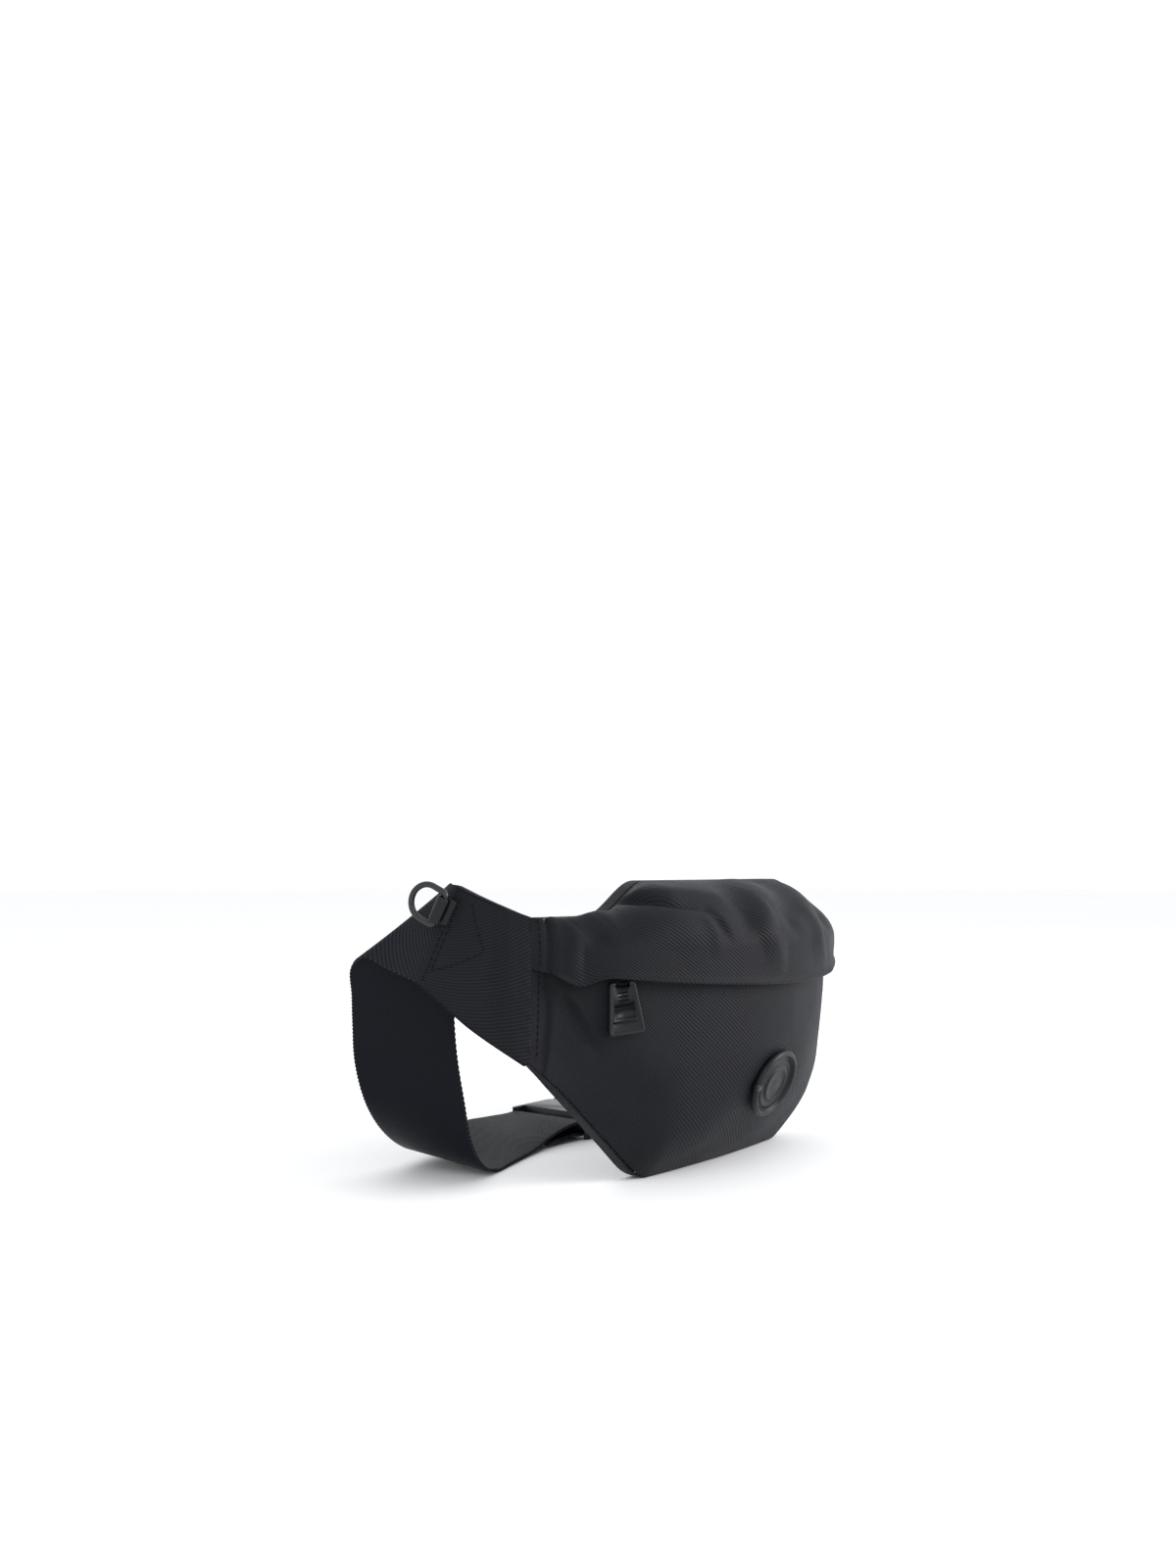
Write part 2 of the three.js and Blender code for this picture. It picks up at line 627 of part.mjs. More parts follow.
// Local axes: X up the wing's end, Y out beyond it, Z off the wing's face.
const ringSeat = new THREE.Group();
ringSeat.position.copy(tipHigh)
  .addScaledVector(edgeUp, -D_RING.belowCorner)
  .addScaledVector(wingOut, D_RING.beyondEdge)
  .addScaledVector(outward, D_RING.lift);
ringSeat.quaternion.setFromRotationMatrix(new THREE.Matrix4().makeBasis(edgeUp, wingOut, outward));
pack.add(ringSeat);

function dRingGeometry() {
  const bow = D_RING.width / 2;
  const straight = D_RING.reach - bow;
  const wire = D_RING.wire / 2;
  const outer = new THREE.Shape();
  const trace = (path, inset) => {
    const half = bow - inset;
    path.moveTo(-half, inset);
    path.lineTo(half, inset);
    path.lineTo(half, straight);
    path.absarc(0, straight, half, 0, Math.PI);
    path.lineTo(-half, inset);
  };
  trace(outer, -wire);
  const inner = new THREE.Path();
  trace(inner, wire);
  outer.holes.push(inner);
  return extrude(outer, D_RING.wire, 12).translate(0, 0, -wire);
}

place('d_ring', dRingGeometry(), FINISHES.metal, ringSeat);

// A folded tab: it wraps the ring's bar and is sewn down on the wing.
const TAB = { inner: 2.5, outer: 3.5, leg: 15, lap: Math.PI * 0.83 };

function tabGeometry() {
  const { inner, outer, leg: legLength, lap } = TAB;
  const profile = new THREE.Shape();
  profile.moveTo(-legLength, -inner);
  profile.lineTo(-legLength, -outer);
  profile.lineTo(0, -outer);
  profile.absarc(0, 0, outer, -Math.PI / 2, lap);
  profile.lineTo(inner * Math.cos(lap), inner * Math.sin(lap));
  profile.absarc(0, 0, inner, lap, -Math.PI / 2, true);
  profile.lineTo(-legLength, -inner);
  const width = D_RING.width - 5;
  const turn = new THREE.Matrix4().makeBasis(
    new THREE.Vector3(0, 1, 0),
    new THREE.Vector3(0, 0, 1),
    new THREE.Vector3(1, 0, 0),
  );
  return extrude(profile, width, 8).translate(0, 0, -width / 2).applyMatrix4(turn);
}

place('d_ring_tab', tabGeometry(), FINISHES.binding, ringSeat);

// ---- Buckle --------------------------------------------------------------------------------------

const halfBuckle = BUCKLE.width / 2;
const slotHalf = WEBBING.width / 2 + 1.5;
const buckleBox = (x0, x1, y0, y1, z0, z1) => boxSolid(
  [x0, BUCKLE.middleY + y0, z0],
  [x1, BUCKLE.middleY + y1, z1],
);
const bucklePlate = (x0, x1) => toSolid(extrude(roundedRectangle(
  [x0, BUCKLE.middleY - halfBuckle],
  [x1, BUCKLE.middleY + halfBuckle],
  4,
), BUCKLE.height));

// Webbing runs over and under the bars between two places along the buckle, so they are thinner than it.
function thinBars(solid, low, high) {
  const middle = BUCKLE.height / 2;
  const half = BUCKLE.barThickness / 2;
  return solid
    .subtract(buckleBox(low, high, -slotHalf, slotHalf, middle + half, BUCKLE.height + 1))
    .subtract(buckleBox(low, high, -slotHalf, slotHalf, -1, middle - half));
}

function socketGeometry() {
  const { wall, height, mouthX, strapBarX, barHalf } = BUCKLE;
  const shell = thinBars(bucklePlate(strapBarX - barHalf, mouthX), strapBarX - 9, strapBarX + barHalf + 0.1);
  return toGeometry(shell
    .subtract(buckleBox(strapBarX + barHalf, 4, -slotHalf, slotHalf, -1, height + 1))
    .subtract(buckleBox(7, mouthX + 1, wall + 2 - halfBuckle, halfBuckle - wall - 2, wall, height - wall))
    .subtract(buckleBox(12, 24, -halfBuckle - 1, halfBuckle + 1, wall + 0.8, height - wall - 0.8)));
}

function insertGeometry() {
  const { wall, height, mouthX, insertEndX, adjustBarX, barHalf } = BUCKLE;
  const start = mouthX + 0.4;
  const plate = thinBars(bucklePlate(start, insertEndX), adjustBarX - barHalf - 0.1, insertEndX + 1)
    .subtract(buckleBox(start + 5.6, adjustBarX - barHalf, -slotHalf, slotHalf, -1, height + 1))
    .subtract(buckleBox(adjustBarX + barHalf, 51, -slotHalf, slotHalf, -1, height + 1));
  return toGeometry(plate.add(buckleBox(10, start + 1, -5, 5, wall + 1.6, height - wall - 1.6)));
}

// One springy side arm, with the barb that catches in the socket's side window.
function prongGeometry(side) {
  const outline = new THREE.Shape();
  const toward = (x, y) => [x, BUCKLE.middleY + side * y];
  const points = [
    [31.1, 15], [31.1, 21], [23.6, 22.5], [23.6, 28.3], [20, 28.3], [12.6, 24], [9.5, 21], [9.5, 17.5], [20, 17],
  ];
  outline.setFromPoints(points.map(([x, y]) => new THREE.Vector2(...toward(x, y))));
  const { wall, height } = BUCKLE;
  return extrude(outline, height - 2 * wall - 3.2).translate(0, 0, wall + 1.6);
}

place('buckle_socket', socketGeometry(), FINISHES.plastic);
place('buckle_insert', insertGeometry(), FINISHES.plastic);
place('prong_front', prongGeometry(-1), FINISHES.plastic);
place('prong_rear', prongGeometry(1), FINISHES.plastic);

// An elastic keeper round the right strap and its tail.
const KEEPER = { centre: [91, 68, 7], heading: -0.24, tilt: 0.09, halfWidth: 27.8, halfHeight: 4, wall: 1, length: 12 };
const keeper = new THREE.Group();
keeper.position.set(...KEEPER.centre);
keeper.rotation.set(0, 0, KEEPER.heading);
pack.add(keeper);

function keeperGeometry() {
  const { halfWidth, halfHeight, wall, length, tilt } = KEEPER;
  const rounded = (inset) => roundedRectangle(
    [inset - halfWidth, inset - halfHeight],
    [halfWidth - inset, halfHeight - inset],
    3 - inset,
  );
  const outline = rounded(0);
  const opening = rounded(wall);
  outline.holes.push(opening);
  const turn = new THREE.Matrix4().makeBasis(
    new THREE.Vector3(0, 1, 0),
    new THREE.Vector3(0, 0, 1),
    new THREE.Vector3(1, 0, 0),
  );
  return extrude(outline, length).translate(0, 0, -length / 2).applyMatrix4(turn).rotateX(tilt);
}

place('strap_keeper', keeperGeometry(), FINISHES.webbing, keeper);

// ---- Stand the pack on Z = 0, with its middle over the origin --------------------------------------

const bounds = new THREE.Box3().setFromObject(pack, true);
const middle = bounds.getCenter(new THREE.Vector3());
pack.position.set(-middle.x, -middle.y, -bounds.min.z);

export default pack;
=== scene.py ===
"""Waist pack: sewn fabric, webbing, zip, rubber, wire and moulded pieces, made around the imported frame.

Lengths are in millimetres in the pack's own frame, with the back's curve centred on X = 0, until
a mesh is made.
"""

from __future__ import annotations

import logging
import math
from dataclasses import dataclass, field
from enum import Enum
from typing import Callable, Iterable, Sequence

import bmesh
import bpy
import numpy as np
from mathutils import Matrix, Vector

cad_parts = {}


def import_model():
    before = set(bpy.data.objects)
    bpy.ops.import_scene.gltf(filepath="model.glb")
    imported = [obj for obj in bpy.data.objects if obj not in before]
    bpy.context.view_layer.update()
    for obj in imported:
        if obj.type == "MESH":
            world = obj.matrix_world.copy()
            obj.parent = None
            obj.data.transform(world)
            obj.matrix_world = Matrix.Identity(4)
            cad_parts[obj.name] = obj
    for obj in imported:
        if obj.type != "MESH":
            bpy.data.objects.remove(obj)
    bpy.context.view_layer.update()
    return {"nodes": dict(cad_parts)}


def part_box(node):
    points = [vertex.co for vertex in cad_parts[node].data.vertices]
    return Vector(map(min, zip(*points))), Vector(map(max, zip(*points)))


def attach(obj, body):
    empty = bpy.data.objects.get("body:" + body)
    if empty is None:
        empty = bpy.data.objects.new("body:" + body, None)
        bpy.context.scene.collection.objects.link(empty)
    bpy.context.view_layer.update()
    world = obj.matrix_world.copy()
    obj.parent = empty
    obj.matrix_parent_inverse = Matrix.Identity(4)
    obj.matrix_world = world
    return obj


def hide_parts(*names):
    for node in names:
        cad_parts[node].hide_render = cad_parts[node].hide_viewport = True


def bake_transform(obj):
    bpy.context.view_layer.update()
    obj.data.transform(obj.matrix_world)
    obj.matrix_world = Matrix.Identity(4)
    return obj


log = logging.getLogger("waist_pack")

Array = np.ndarray
Surface = Callable[[Array, Array], Array]
Relief = Callable[[Array, Array], Array]

METRES = 0.001
CLOTH_MAP = "cloth"
EDGE_STEPS = 6
STITCH_SIDES = 6
THREAD_RADIUS = 0.34

# One stitch, ring by ring: place along it as a share of the pitch, size and lift in thread radii.
STITCH = ((-0.37, 0.25, -0.3), (-0.3, 0.85, 0.05), (0.0, 1.0, 0.3), (0.3, 0.85, 0.05), (0.37, 0.25, -0.3))


# ---- Shader maths ---------------------------------------------------------------------------------


class Signal:
    """A number that varies over a surface: an output socket that Python's operators act on."""

    def __init__(self, recipe: "Recipe", socket: bpy.types.NodeSocket) -> None:
        """Wraps one output socket of a recipe's node tree."""
        self.recipe = recipe
        self.socket = socket

    def math(self, operation: str, *values: "Signal | float") -> "Signal":
        """Adds a Math node.

        Args:
            operation: the Math node's operation.
            values: its inputs, in order.

        Returns:
            The node's result.
        """
        return self.recipe.node("ShaderNodeMath", {"operation": operation}, *values)

    def __add__(self, other: "Signal | float") -> "Signal":
        """self + other."""
        return self.math("ADD", self, other)

    __radd__ = __add__

    def __mul__(self, other: "Signal | float") -> "Signal":
        """self * other."""
        return self.math("MULTIPLY", self, other)

    __rmul__ = __mul__

    def __sub__(self, other: "Signal | float") -> "Signal":
        """self - other."""
        return self.math("SUBTRACT", self, other)

    def __rsub__(self, other: float) -> "Signal":
        """other - self."""
        return self.math("SUBTRACT", other, self)

    def __truediv__(self, other: "Signal | float") -> "Signal":
        """self / other."""
        return self.math("DIVIDE", self, other)

    def wave(self) -> "Signal":
        """A smooth wave from 0 to 1, one turn for each whole number."""
        return self.math("SINE", self * math.tau) * 0.5 + 0.5

    def between(self, low: float, high: float) -> "Signal":
        """0 below low, 1 above high, and a straight ramp in between."""
        ranges = {"From Min": low, "From Max": high}
        return self.recipe.node("ShaderNodeMapRange", {"clamp": True}, self, **ranges)


class Recipe:
    """One procedural material under construction."""

    def __init__(self, name: str) -> None:
        """Starts an empty material of that name."""
        self.material = bpy.data.materials.new(name)
        self.material.use_nodes = True
        self.tree = self.material.node_tree
        self.tree.nodes.clear()
        self.shader = self.tree.nodes.new("ShaderNodeBsdfPrincipled")
        output = self.tree.nodes.new("ShaderNodeOutputMaterial")
        self.tree.links.new(self.shader.outputs["BSDF"], output.inputs["Surface"])

    def connect(self, target: bpy.types.NodeSocket, value: object) -> None:
        """Links a signal to a socket, or sets the socket's own value."""
        if isinstance(value, Signal):
            self.tree.links.new(value.socket, target)
        else:
            target.default_value = value

    def node(self, kind: str, settings: dict[str, object], *values: object, **named: object) -> Signal:
        """Adds any node.

        Args:
            kind: the node's type.
            settings: attributes that are set first. "output" names the socket to return.
            values: values or signals for its inputs, in order.
            named: values or signals for its inputs, by name.

        Returns:
            The chosen output, or the first.
        """
        made = self.tree.nodes.new(kind)
        wanted = settings.get("output", 0)
        for name, value in settings.items():
            if name != "output":
                setattr(made, name, value)
        for target, value in zip(made.inputs, values):
            self.connect(target, value)
        for name, value in named.items():
            self.connect(made.inputs[name], value)
        return Signal(self, made.outputs[wanted])

    def blend(self, low: Sequence[float], high: Sequence[float], share: Signal) -> Signal:
        """Mixes two colours.

        Args:
            low: the colour where share is 0.
            high: the colour where share is 1.
            share: the mask.

        Returns:
            The mixed colour.
        """
        colours = {"A": (*low, 1.0), "B": (*high, 1.0)}
        made = self.tree.nodes.new("ShaderNodeMix")
        made.data_type = "RGBA"
        made.clamp_factor = True
        self.connect(made.inputs[0], share)
        for socket in made.inputs:
            if socket.type == "RGBA":
                socket.default_value = colours[socket.name]
        return Signal(self, next(o for o in made.outputs if o.type == "RGBA"))

    def noise(self, scale: float, detail: float = 2.0) -> Signal:
        """Cloudy noise in the object's own metres.

        Args:
            scale: how fine it is.
            detail: how many finer layers it has.

        Returns:
            A signal about 0.5.
        """
        where = self.node("ShaderNodeTexCoord", {"output": "Object"})
        named = {"Vector": where, "Scale": scale, "Detail": detail}
        return self.node("ShaderNodeTexNoise", {}, **named)

    def cloth(self) -> tuple[Signal, Signal]:
        """Places along and across the cloth, in millimetres."""
        where = self.node("ShaderNodeUVMap", {"uv_map": CLOTH_MAP})
        parts = self.tree.nodes.new("ShaderNodeSeparateXYZ")
        self.connect(parts.inputs[0], where)
        return Signal(self, parts.outputs["X"]) * 1000.0, Signal(self, parts.outputs["Y"]) * 1000.0

    def axes(self) -> tuple[Signal, Signal, Signal]:
        """The object's own coordinates, in millimetres."""
        where = self.node("ShaderNodeTexCoord", {"output": "Object"})
        parts = self.tree.nodes.new("ShaderNodeSeparateXYZ")
        self.connect(parts.inputs[0], where)
        x, y, z = (Signal(self, parts.outputs[name]) * 1000.0 for name in "XYZ")
        return x, y, z

    def bump(self, height: Signal, depth: float) -> None:
        """Raises the surface by height, from 0 to 1, times depth in millimetres."""
        named = {"Strength": 1.0, "Distance": depth * METRES, "Height": height}
        self.connect(self.shader.inputs["Normal"], self.node("ShaderNodeBump", {}, **named))

    def finish(self, **sockets: object) -> bpy.types.Material:
        """Sets the shader's own sockets by name, with underscores for spaces, and returns the material."""
        for name, value in sockets.items():
            self.connect(self.shader.inputs[name.replace("_", " ")], value)
        return self.material


# ---- Finishes -------------------------------------------------------------------------------------


Colour = tuple[float, float, float]


@dataclass(frozen=True)
class Twill:
    """Woven cloth or webbing with slanting ribs."""

    name: str
    shade: Colour
    light: Colour
    pitch: float
    slant: float
    depth: float
    roughness: float
    rib_share: float = 0.75
    sheen: float = 0.02
    shine: float = 0.09

    def make(self) -> bpy.types.Material:
        """Builds the material."""
        recipe = Recipe(self.name)
        along, across = recipe.cloth()
        drift = recipe.noise(38.0, 3.0)
        cosine, sine = math.cos(self.slant), math.sin(self.slant)
        rib = ((along * cosine + across * sine) / self.pitch + drift * 0.1).wave()
        thread = ((across * cosine - along * sine) / (self.pitch * 0.8)).wave()
        weave = rib * self.rib_share + thread * (1 - self.rib_share)
        fuzz = recipe.noise(900.0, 2.0)
        worn = recipe.noise(24.0, 4.0).between(0.35, 0.75)
        tone = weave * 0.62 + fuzz * 0.16 + worn * 0.22
        recipe.bump(weave + fuzz * 0.2, self.depth)
        return recipe.finish(
            Base_Color=recipe.blend(self.shade, self.light, tone),
            Roughness=self.roughness + (worn - 0.5) * 0.12 - weave * 0.08,
            Sheen_Weight=self.sheen,
            Sheen_Roughness=0.45,
            Sheen_Tint=(0.72, 0.8, 1.0, 1.0),
            Specular_IOR_Level=self.shine,
        )


@dataclass(frozen=True)
class SpacerMesh:
    """Open mesh cloth with staggered round holes."""

    name: str
    shade: Colour
    light: Colour
    pitch: float = 3.2

    def make(self) -> bpy.types.Material:
        """Builds the material."""
        recipe = Recipe(self.name)
        along, across = recipe.cloth()
        first = (along / self.pitch).wave() * (across / (self.pitch * 1.73)).wave()
        second = (along / self.pitch + 0.5).wave() * (across / (self.pitch * 1.73) + 0.5).wave()
        hole = (first + second).between(0.5, 0.8)
        fuzz = recipe.noise(800.0, 2.0)
        height = (1.0 - hole) * 0.8 + fuzz * 0.2
        recipe.bump(height, 0.6)
        return recipe.finish(
            Base_Color=recipe.blend(self.shade, self.light, height),
            Roughness=0.95 - height * 0.15,
            Sheen_Weight=0.2,
            Specular_IOR_Level=0.2,
        )


@dataclass(frozen=True)
class Moulded:
    """Moulded rubber or plastic, or lacquered metal, with a fine grain and worn high spots."""

    name: str
    shade: Colour
    light: Colour
    roughness: float
    grain: float = 0.05
    metal: float = 0.0
    coat: float = 0.0
    shine: float = 0.5

    def make(self) -> bpy.types.Material:
        """Builds the material."""
        recipe = Recipe(self.name)
        grain = recipe.noise(1500.0, 2.0)
        cloud = recipe.noise(60.0, 4.0)
        edge = recipe.node("ShaderNodeNewGeometry", {"output": "Pointiness"}).between(0.49, 0.58)
        recipe.bump(grain * 0.7 + cloud * 0.3, self.grain)
        return recipe.finish(
            Base_Color=recipe.blend(self.shade, self.light, edge * 0.6 + cloud * 0.4),
            Roughness=self.roughness + (cloud - 0.5) * 0.18 + grain * 0.05,
            Metallic=self.metal,
            Specular_IOR_Level=self.shine,
            Coat_Weight=self.coat,
            Coat_Roughness=0.25,
        )


@dataclass(frozen=True)
class Padding:
    """Foam or plain lining cloth on a piece that has no cloth map."""

    name: str
    shade: Colour
    light: Colour
    cell: float
    depth: float

    def make(self) -> bpy.types.Material:
        """Builds the material."""
        recipe = Recipe(self.name)
        x, y, z = recipe.axes()
        threads = ((x + y) / self.cell).wave() * 0.5 + (z / self.cell).wave() * 0.5
        cloud = recipe.noise(40.0, 4.0)
        height = threads * 0.6 + recipe.noise(1000.0, 2.0) * 0.4
        recipe.bump(height, self.depth)
        return recipe.finish(
            Base_Color=recipe.blend(self.shade, self.light, height * 0.6 + cloud * 0.4),
            Roughness=0.9 - cloud * 0.12,
            Sheen_Weight=0.15,
            Specular_IOR_Level=0.3,
        )


class Cloth(Enum):
    """The pack's finishes."""

    SHELL = Twill(
        "shell_twill", (0.0014, 0.0016, 0.0025), (0.0158, 0.0163, 0.0200),
        pitch=1.35, slant=math.radians(58), depth=0.22, roughness=0.58,
    )
    WEBBING = Twill(
        "webbing_ribs", (0.0007, 0.0010, 0.0019), (0.0215, 0.0236, 0.0305),
        pitch=1.6, slant=math.radians(38), depth=0.7, roughness=0.62,
    )
    # The webbing's rear face: a flatter weave, with colours painted darker than the ribbed face as painted
    # shade. The elastic keeper takes the same finish.
    WEBBING_BACK_PAINTED_SHADE = Twill(
        "webbing_smooth_painted_shade", (0.0022, 0.0028, 0.0052), (0.0056, 0.0066, 0.0104),
        pitch=1.2, slant=math.radians(90), depth=0.06, roughness=0.5,
    )
    BINDING = Twill(
        "binding_tape", (0.0016, 0.0019, 0.0030), (0.0066, 0.0074, 0.0100),
        pitch=0.9, slant=0.0, depth=0.14, roughness=0.6,
    )
    ZIP_TAPE = Twill(
        "zip_tape", (0.0030, 0.0032, 0.0038), (0.0090, 0.0096, 0.0110),
        pitch=0.7, slant=math.radians(30), depth=0.08, roughness=0.7,
    )
    THREAD = Twill(
        "sewing_thread", (0.0016, 0.0018, 0.0024), (0.0062, 0.0066, 0.0080),
        pitch=0.4, slant=math.radians(45), depth=0.05, roughness=0.5,
    )
    MESH = SpacerMesh("spacer_mesh", (0.0016, 0.0018, 0.0024), (0.0120, 0.0127, 0.0148))
    LINING = Padding("lining_cloth", (0.045, 0.047, 0.050), (0.085, 0.088, 0.094), cell=0.7, depth=0.06)
    FOAM = Padding("foam", (0.020, 0.020, 0.022), (0.045, 0.046, 0.048), cell=1.6, depth=0.12)
    RUBBER = Moulded(
        "moulded_rubber", (0.0022, 0.0027, 0.0040), (0.0088, 0.0098, 0.0125),
        roughness=0.4, grain=0.04, shine=0.26,
    )
    PLASTIC = Moulded(
        "acetal", (0.0024, 0.0028, 0.0040), (0.0090, 0.0100, 0.0125),
        roughness=0.34, grain=0.03, shine=0.3,
    )
    WIRE = Moulded(
        "coated_wire", (0.0020, 0.0024, 0.0034), (0.0100, 0.0110, 0.0135),
        roughness=0.27, grain=0.02, shine=0.5,
    )
    ZIP_METAL = Moulded(
        "lacquered_zinc", (0.0100, 0.0105, 0.0120), (0.0450, 0.0460, 0.0500),
        roughness=0.32, grain=0.02, metal=0.6,
    )
    COIL = Moulded(
        "zip_coil", (0.0045, 0.0050, 0.0060), (0.0130, 0.0140, 0.0165),
        roughness=0.4, grain=0.02, shine=0.35,
    )


class Wardrobe:
    """Makes each finish once."""

    def __init__(self) -> None:
        """Starts with no materials made."""
        self.made: dict[Cloth, bpy.types.Material] = {}

    def __getitem__(self, cloth: Cloth) -> bpy.types.Material:
        """The material of a finish."""
        if cloth not in self.made:
            self.made[cloth] = cloth.value.make()
        return self.made[cloth]


# ---- Points, sheets and sweeps --------------------------------------------------------------------


def stack(x: Array | float, y: Array | float, z: Array | float) -> Array:
    """Joins three coordinates into points."""
    return np.stack(np.broadcast_arrays(x, y, z), axis=-1).astype(float)


def unit(vectors: Array) -> Array:
    """Scales vectors to length 1."""
    return vectors / np.maximum(np.linalg.norm(vectors, axis=-1, keepdims=True), 1e-9)


def smooth(value: Array | float, low: float, high: float) -> Array:
    """0 below low, 1 above high, and a smooth step in between."""
    share = np.clip((np.asarray(value) - low) / (high - low), 0, 1)
    return share * share * (3 - 2 * share)


def lerp(low: Array | float, high: Array | float, share: Array | float) -> Array:
    """Mixes two values by a share."""
    return low + (high - low) * share


def hump(value: Array, width: float) -> Array:
    """A bell of height 1 about 0."""
    return np.exp(-((value / width) ** 2))


def crowd(u: Array) -> Array:
    """Draws the columns of a sheet closer together near its two ends."""
    return u - 0.55 * np.sin(math.tau * u) / math.tau


def swells(points: Array, size: float, height: float) -> Array:
    """Broad gentle unevenness, as in cloth that was sewn by hand.

    Args:
        points: points of the cloth.
        size: roughly how far apart the swells are.
        height: how far they stand out.

    Returns:
        Millimetres along the cloth's normal.
    """
    x, y, z = points[..., 0] / size, points[..., 1] / size, points[..., 2] / size
    first = np.sin(1.7 * x + 0.9 * z + 0.4) * np.sin(1.3 * z - 0.8 * y + 1.1)
    second = np.sin(3.1 * x - 2.3 * z + 2.0) * 0.4
    return height * (first + second)


def normals_of(surface: Surface, u: Array, v: Array) -> Array:
    """A surface's unit normals, from nearby points.

    Args:
        surface: points for u and v from 0 to 1.
        u: places along the surface.
        v: places up the surface.

    Returns:
        One normal for each place.
    """
    nudge = 1e-3
    across = surface(np.minimum(u + nudge, 1), v) - surface(np.maximum(u - nudge, 0), v)
    up = surface(u, np.minimum(v + nudge, 1)) - surface(u, np.maximum(v - nudge, 0))
    return unit(np.cross(across, up))


def raised(surface: Surface, relief: Relief) -> Surface:
    """A surface moved along its normals by a relief in millimetres."""
    return lambda u, v: surface(u, v) + normals_of(surface, u, v) * relief(u, v)[..., None]


def lengths(points: Array) -> Array:
    """The distance along a run of points, from its start to each of them."""
    steps = np.linalg.norm(np.diff(points, axis=0), axis=-1)
    return np.concatenate([[0], np.cumsum(steps)])


def oval(sides: int, half_width: float, half_thickness: float) -> Array:
    """An oval section with that many sides."""
    turn = np.linspace(0, math.tau, sides, endpoint=False)
    return np.stack([half_width * np.cos(turn), half_thickness * np.sin(turn)], axis=-1)


def band(here: int, ahead: int, ring: int) -> list[tuple[int, int, int, int]]:
    """The faces between two loops of vertices, each given by its first vertex."""
    return [(here + k, here + (k + 1) % ring, ahead + (k + 1) % ring, ahead + k) for k in range(ring)]


